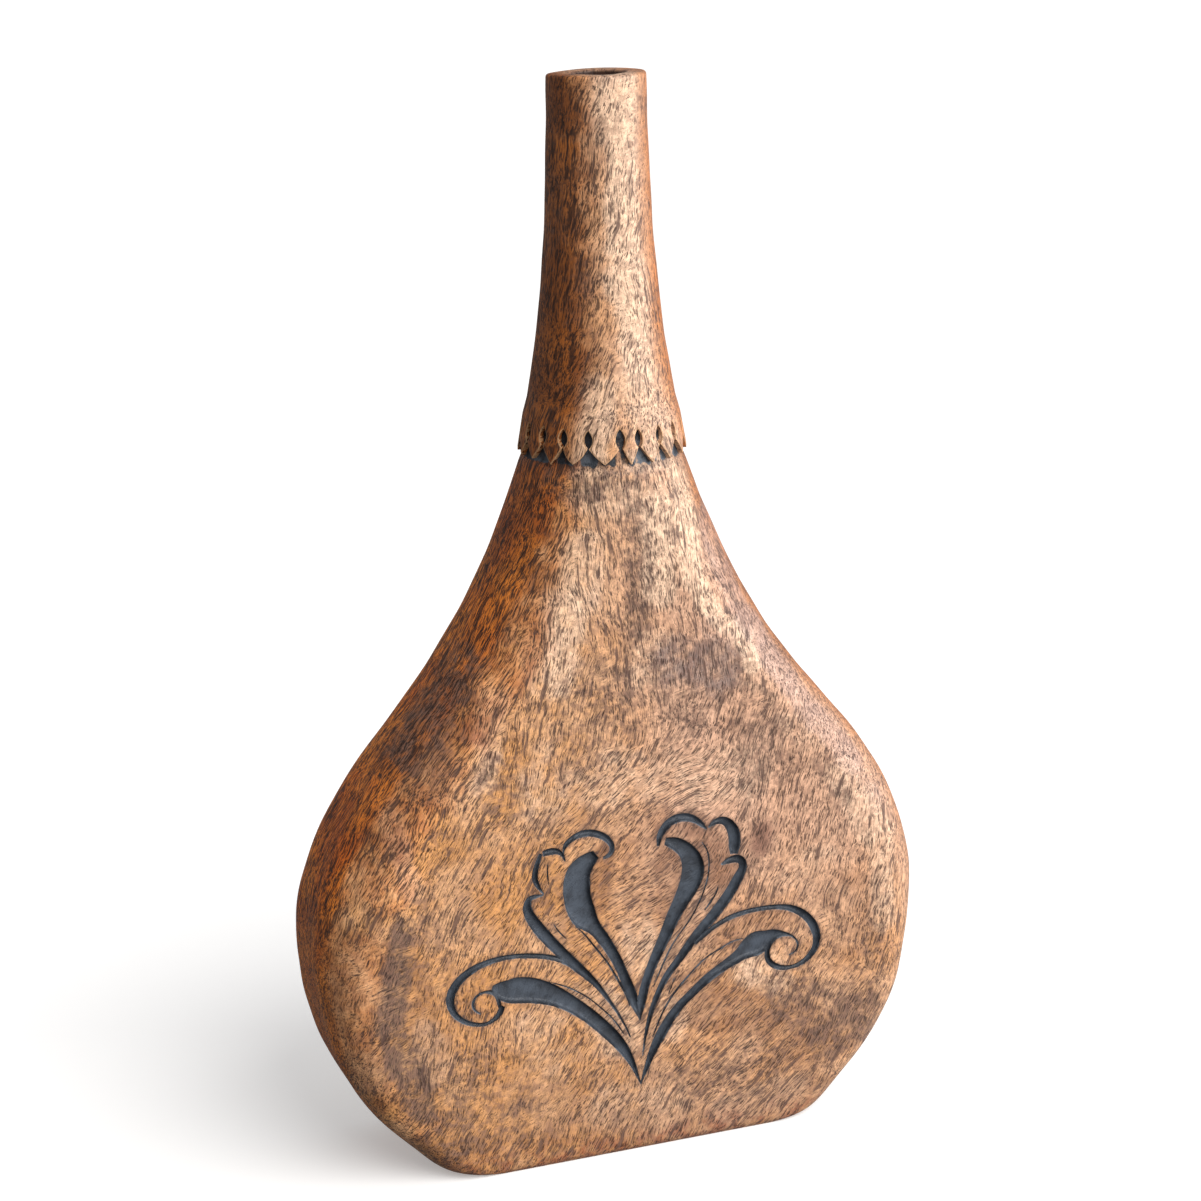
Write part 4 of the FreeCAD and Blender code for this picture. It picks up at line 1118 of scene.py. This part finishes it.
def wood(name, neck=False):
    """Old carved hardwood: short dark pores, flowing grain, stained patches and worn edges, with
    painted highlights, sheen and shade.
    """
    material = bpy.data.materials.new(name)
    graph = Graph(material)
    place = graph.node("TexCoord").outputs["Object"]
    place = graph.vector("MULTIPLY", place, (1 / MM, 1 / MM, 1 / MM))
    drift = graph.noise(place, 1 / 24, 2.0).outputs["Color"]
    drift = graph.vector("MULTIPLY_ADD", drift, (8.0, 8.0, 8.0), (-4.0, -4.0, -4.0))
    flow = graph.vector("ADD", place, drift)
    mottle = graph.noise(graph.shifted(place, (70.0, 0.0, 40.0)), 1 / 8, 5.0, 0.68).outputs["Fac"]
    blotch = graph.noise(graph.shifted(place, (23.0, 9.0, 61.0)), 1 / 2.4, 3.0, 0.65).outputs["Fac"]
    speckle = graph.noise(graph.shifted(place, (11.0, 7.0, 3.0)), 1 / 1.3, 2.0, 0.6).outputs["Fac"]
    broad = graph.noise(place, 1 / 24, 3.0, 0.55).outputs["Fac"]
    uneven = graph.math("MULTIPLY_ADD", mottle, 2.0, -1.0)

    def patchy(share, wander, *limits):
        """A share of colour whose edge is broken up by the mottle."""
        return graph.step(graph.math("MULTIPLY_ADD", uneven, wander, share), *limits)

    fine, streak, dash = grain_layer(graph, flow, GRAIN_STEPS[0])
    for share, degrees in zip(graph.channels("grain"), GRAIN_STEPS[1:]):
        rough_share = graph.math("MULTIPLY_ADD", uneven, 0.3, share)
        weight = graph.step(rough_share, 0.4, 0.6)
        layer = grain_layer(graph, flow, degrees)
        fine = graph.blend(weight, fine, layer[0])
        streak = graph.blend(weight, streak, layer[1])
        dash = graph.blend(weight, dash, layer[2])

    grey, dark, pale, painted_sheen = graph.channels("bands")
    left, right, knot, low = graph.channels("sides")
    inside = graph.node("Attribute", attribute_name="inside").outputs["Fac"]

    # The ground colour, patch by patch, with painted highlights and shade among the patches.
    colour = graph.mix(graph.step(broad, 0.35, 0.65), srgb(204, 144, 88), srgb(212, 161, 118))
    # A cooler, greyer tone towards the right and the top: partly the wood's pinkish tan, partly
    # painted sheen of the lacquer on the lit side.
    across, _, up = graph.node("SeparateXYZ", {"Vector": place}).outputs
    unturned = graph.math("SUBTRACT", 1.0, right)
    cool_and_sheen = graph.math("MULTIPLY", graph.step(across, -36.0, 30.0, 0.7), unturned)
    cool_and_sheen = graph.math("MULTIPLY", cool_and_sheen, graph.math("ADD", graph.step(up, 60.0, 130.0, 0.7), 0.3))
    colour = graph.mix(cool_and_sheen, colour, srgb(208, 166, 142))
    # Paler places: partly worn wood, partly painted highlight.
    colour = graph.mix(patchy(pale, 0.7, 0.1, 1.0, 0.85), colour, srgb(238, 200, 168))
    # The ochre of the left side, darker on the neck: partly the wood's colour, partly painted shade of
    # the side turned from the light.
    if neck:
        ochre = graph.mix(graph.step(broad, 0.3, 0.7), srgb(124, 64, 14), srgb(164, 92, 30))
    else:
        ochre = graph.mix(graph.step(broad, 0.3, 0.7), srgb(166, 78, 10), srgb(210, 120, 32))
    colour = graph.mix(patchy(left, 0.5, 0.1, 0.9, 0.96), colour, ochre)
    colour = graph.mix(graph.math("MULTIPLY", right, 0.9), colour, srgb(184, 108, 54))
    worn = graph.math("MULTIPLY", low, graph.step(mottle, 0.42, 0.6, 0.7))
    colour = graph.mix(worn, colour, srgb(160, 80, 52))
    # Darker places: partly darker wood, partly painted shade.
    colour = graph.mix(patchy(dark, 0.6, 0.05, 1.1, 0.7), colour, srgb(104, 58, 30))
    old = graph.math("MULTIPLY_ADD", uneven, 0.9, grey)
    old = graph.math("ADD", old, graph.math("MULTIPLY_ADD", blotch, 1.2, -0.6))
    colour = graph.mix(graph.step(old, 0.1, 1.05, 0.9), colour, srgb(96, 76, 66))
    # Painted sheen: a bluish highlight beside the right-hand ridge.
    colour = graph.mix(patchy(painted_sheen, 0.6, 0.2, 1.0, 0.4), colour, srgb(182, 158, 152))
    colour = graph.mix(graph.math("MULTIPLY", knot, 0.8), colour, srgb(118, 80, 66))

    # Flecks, fibres, pores and fine cracks.
    flecks = graph.math("ADD", blotch, graph.math("MULTIPLY_ADD", fine, 0.8, -0.4))
    flecks = graph.math("MULTIPLY_ADD", uneven, 0.16, flecks)
    fleck_share = graph.math("MULTIPLY_ADD", left, -0.35, graph.step(flecks, 0.5, 0.58, 0.46))
    fleck_share = graph.math("MAXIMUM", fleck_share, 0.0)
    # On the left side the flecks are darker and more orange, part of the painted shade there.
    fleck_colour = graph.mix(left, srgb(130, 94, 76), srgb(92, 42, 12))
    colour = graph.mix(fleck_share, colour, fleck_colour)
    strength = graph.math("MULTIPLY_ADD", left, 0.3 if neck else 0.75, 0.42)
    fibres = graph.math("SUBTRACT", graph.step(fine, 0.44, 0.54), 0.5)
    drawn = graph.math("SUBTRACT", graph.step(streak, 0.36, 0.64), 0.5)
    lit = graph.math("MULTIPLY_ADD", fibres, strength, 1.0)
    lit = graph.math("MULTIPLY_ADD", drawn, graph.math("MULTIPLY_ADD", left, 0.35, 0.34), lit)
    lit = graph.node("CombineColor", {0: lit, 1: lit, 2: lit}).outputs[0]
    colour = graph.mix(1.0, colour, lit, "MULTIPLY")
    pore_colour = graph.mix(graph.step(broad, 0.3, 0.7), srgb(58, 30, 15), srgb(64, 46, 40))
    crowded = graph.math("MULTIPLY_ADD", left, -0.045, fine)
    hairs = graph.step(crowded, 0.405, 0.38, 0.7)
    colour = graph.mix(hairs, colour, pore_colour)

    pores = graph.step(dash, -0.01, 0.025)
    present = graph.step(mottle, 0.4, 0.52)
    shown = graph.math("MULTIPLY", pores, graph.math("MULTIPLY_ADD", present, 0.45, 0.35))
    colour = graph.mix(shown, colour, pore_colour)
    torn = graph.math("MULTIPLY_ADD", left, -0.04, streak)
    cracks = graph.step(torn, 0.395, 0.355, 0.75)
    # The cracks too are darker on the left, part of the painted shade there.
    colour = graph.mix(cracks, colour, graph.mix(left, srgb(96, 70, 60), srgb(48, 22, 8)))
    # Painted shade: inside the bore the wood is painted near black.
    colour = graph.mix(graph.math("MULTIPLY", inside, 0.92), colour, srgb(40, 20, 13))

    # The stained cuts, with painted shade on their walls and painted highlight on their rims, and the
    # pale cut edge of the petals, partly worn and partly painted highlight.
    cut = graph.node("Attribute", attribute_name="cut_depth").outputs["Fac"]
    ragged_cut = graph.math("ADD", cut, graph.math("MULTIPLY_ADD", speckle, 0.4, -0.2))
    if neck:
        # Painted highlight: a pale line along the petals' cut edge, partly worn wood.
        colour = graph.mix(graph.step(cut, -0.9, -0.45, 0.5), colour, srgb(228, 180, 132))
    else:
        colour = graph.mix(patchy(ragged_cut, 1.4, -1.6, 0.1, 0.4), colour, srgb(84, 68, 62))
    # Stain in the cuts. The paler grey of the floors is partly painted reflection.
    floor_tone = graph.mix(graph.step(mottle, 0.35, 0.65), srgb(52, 56, 63), srgb(76, 83, 93))
    # Painted shade: the steep walls near the rim are painted darker than the floors.
    wall_tone = graph.mix(graph.step(cut, 0.1, 0.9), srgb(34, 37, 43), floor_tone)
    # A lighter rim on the walls: partly rubbed paint, partly painted highlight.
    rubbed_and_highlit = graph.math("MULTIPLY", graph.step(cut, 0.5, 0.15, 0.6), graph.step(mottle, 0.46, 0.6))
    wall_tone = graph.mix(rubbed_and_highlit, wall_tone, srgb(112, 120, 130))
    colour = graph.mix(graph.step(ragged_cut, -0.12, 0.08), colour, wall_tone)

    graph.put(graph.shader.inputs["Base Color"], colour)
    graph.shader.inputs["Specular IOR Level"].default_value = 0.36
    gloss = graph.math("MULTIPLY_ADD", mottle, 0.3, 0.27)
    gloss = graph.math("MULTIPLY_ADD", pores, 0.2, graph.math("MULTIPLY_ADD", left, 0.2, gloss))
    graph.put(graph.shader.inputs["Roughness"], gloss)
    dips = graph.math("ADD", pores, graph.math("MAXIMUM", cracks, hairs))
    height = graph.math("SUBTRACT", graph.math("MULTIPLY", fine, 1.4), dips)
    bump = graph.node("Bump", {"Height": height, "Strength": 0.6, "Distance": 0.3 * MM})
    graph.put(graph.shader.inputs["Normal"], bump.outputs[0])
    return material


def dowel_wood():
    """Plain pale turned beech, with grain along the pin."""
    material = bpy.data.materials.new("dowel_beech")
    graph = Graph(material)
    place = graph.node("TexCoord").outputs["Object"]
    place = graph.vector("MULTIPLY", place, (1 / MM, 0.2 / MM, 1 / MM))
    fibre = graph.noise(place, 1.4, 3.0, 0.6).outputs["Fac"]
    colour = graph.mix(graph.step(fibre, 0.35, 0.65), srgb(184, 142, 98), srgb(218, 184, 142))
    graph.put(graph.shader.inputs["Base Color"], colour)
    graph.put(graph.shader.inputs["Roughness"], graph.math("MULTIPLY_ADD", fibre, 0.2, 0.45))
    return material


# ---------------------------------------------------------------- pieces
body_wood = wood("carved_body_wood")
PIECES = [
    (body_half("carved_front_half", -1), "body_front_half", "body_wood", body_wood),
    (body_half("plain_back_half", 1), "body_back_half", "body_wood", body_wood),
    (neck_piece("turned_neck"), "neck", "neck_wood", wood("turned_neck_wood", neck=True)),
]
for piece, node, slot, material in PIECES:
    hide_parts(node)
    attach(piece, "root")
    paint(piece)
    piece.data.materials.append(material)
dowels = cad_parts["alignment_dowels"]
dowels.data.materials.clear()
dowels.data.materials.append(dowel_wood())


# ---------------------------------------------------------------- stage, light and camera
FLOOR_HALF = 12.0


def stage_floor():
    half = FLOOR_HALF
    mesh = bpy.data.meshes.new("floor")
    corners = [(-half, -half, 0), (half, -half, 0), (half, half, 0), (-half, half, 0)]
    mesh.from_pydata(corners, [], [(0, 1, 2, 3)])
    floor = bpy.data.objects.new("floor", mesh)
    bpy.context.scene.collection.objects.link(floor)
    material = bpy.data.materials.new("pale_floor")
    material.use_nodes = True
    shader = material.node_tree.nodes["Principled BSDF"]
    shader.inputs["Base Color"].default_value = (0.8, 0.79, 0.78, 1)
    shader.inputs["Emission Color"].default_value = (1.0, 0.99, 0.98, 1)
    shader.inputs["Emission Strength"].default_value = 0.3
    shader.inputs["Roughness"].default_value = 0.9
    shader.inputs["Specular IOR Level"].default_value = 0.1
    mesh.materials.append(material)
    floor.visible_diffuse = False
    floor.visible_glossy = False


def direction(azimuth, elevation):
    """Unit vector from the object: azimuth from -Y towards +X, in degrees."""
    a, e = math.radians(azimuth), math.radians(elevation)
    return Vector((math.sin(a) * math.cos(e), -math.cos(a) * math.cos(e), math.sin(e)))


def aim(thing, place, target, roll=0.0):
    look = (Vector(target) - Vector(place)).to_track_quat("-Z", "Y").to_matrix().to_4x4()
    thing.matrix_world = Matrix.Translation(place) @ look @ Matrix.Rotation(math.radians(roll), 4, "Z")


# Azimuth and elevation in degrees of what lights the vase.
KEY_FROM = (24.0, 40.0)
WINDOW_FROM = (72.0, 16.0)
SKY_FROM = (60.0, 35.0)
GLOW_FROM = (-140.0, 0.0)
WINDOW_DISTANCE = 1.3
MID_HEIGHT = Vector((0, 0, HEIGHT / 2 * MM))


def lamp(name, kind, place, target, **settings):
    data = bpy.data.lights.new(name, kind)
    for key, value in settings.items():
        setattr(data, key, value)
    light = bpy.data.objects.new(name, data)
    bpy.context.scene.collection.objects.link(light)
    aim(light, place, target)


def stage_sky():
    """A studio that is brighter at the upper right and below, with a faint glow from behind."""
    world = bpy.data.worlds.new("studio")
    bpy.context.scene.world = world
    graph = Graph(world)
    place = graph.node("TexCoord").outputs["Generated"]

    def spread(value, *limits):
        names = ("From Min", "From Max", "To Min", "To Max")
        return graph.node("MapRange", {"Value": value, **dict(zip(names, limits))}).outputs[0]

    toward = graph.vector("DOT_PRODUCT", place, direction(*SKY_FROM))
    behind = graph.vector("DOT_PRODUCT", place, direction(*GLOW_FROM))
    up = graph.node("SeparateXYZ", {"Vector": place}).outputs["Z"]
    level = spread(toward, -0.7, 0.9, 0.05, 0.6)
    level = graph.math("MULTIPLY", level, spread(up, 0.0, -0.5, 1.0, 2.2))
    level = graph.math("ADD", level, spread(behind, 0.5, 1.0, 0.0, 0.35))
    graph.shader.inputs["Color"].default_value = (0.97, 0.98, 1.0, 1)
    graph.put(graph.shader.inputs["Strength"], level)


def stage_light():
    """A soft key from the upper right and a low wide window at the right."""
    lamp("key", "SUN", direction(*KEY_FROM) * 3, (0, 0, 0),
         energy=2.85, angle=math.radians(50), color=(1.0, 0.99, 0.975))
    lamp("window", "AREA", direction(*WINDOW_FROM) * WINDOW_DISTANCE + MID_HEIGHT, MID_HEIGHT,
         shape="RECTANGLE", size=0.9, size_y=1.1, energy=9.0, color=(0.93, 0.96, 1.0))


CAMERA_AZIMUTH = -20.257
CAMERA_ELEVATION = 16.196
CAMERA_ROLL = 0.941
CAMERA_DISTANCE = 0.9598
LENS = 77.79
SENSOR = 36.0
CAMERA_SHIFT = (-0.0036, 0.0192)


def stage_camera():
    data = bpy.data.cameras.new("camera")
    data.lens = LENS
    data.sensor_width = SENSOR
    data.shift_x, data.shift_y = CAMERA_SHIFT
    camera = bpy.data.objects.new("camera", data)
    bpy.context.scene.collection.objects.link(camera)
    place = MID_HEIGHT + direction(CAMERA_AZIMUTH, CAMERA_ELEVATION) * CAMERA_DISTANCE
    aim(camera, place, MID_HEIGHT, -CAMERA_ROLL)
    bpy.context.scene.camera = camera


stage_floor()
stage_light()
stage_sky()
stage_camera()
bpy.context.scene.view_settings.view_transform = "Standard"
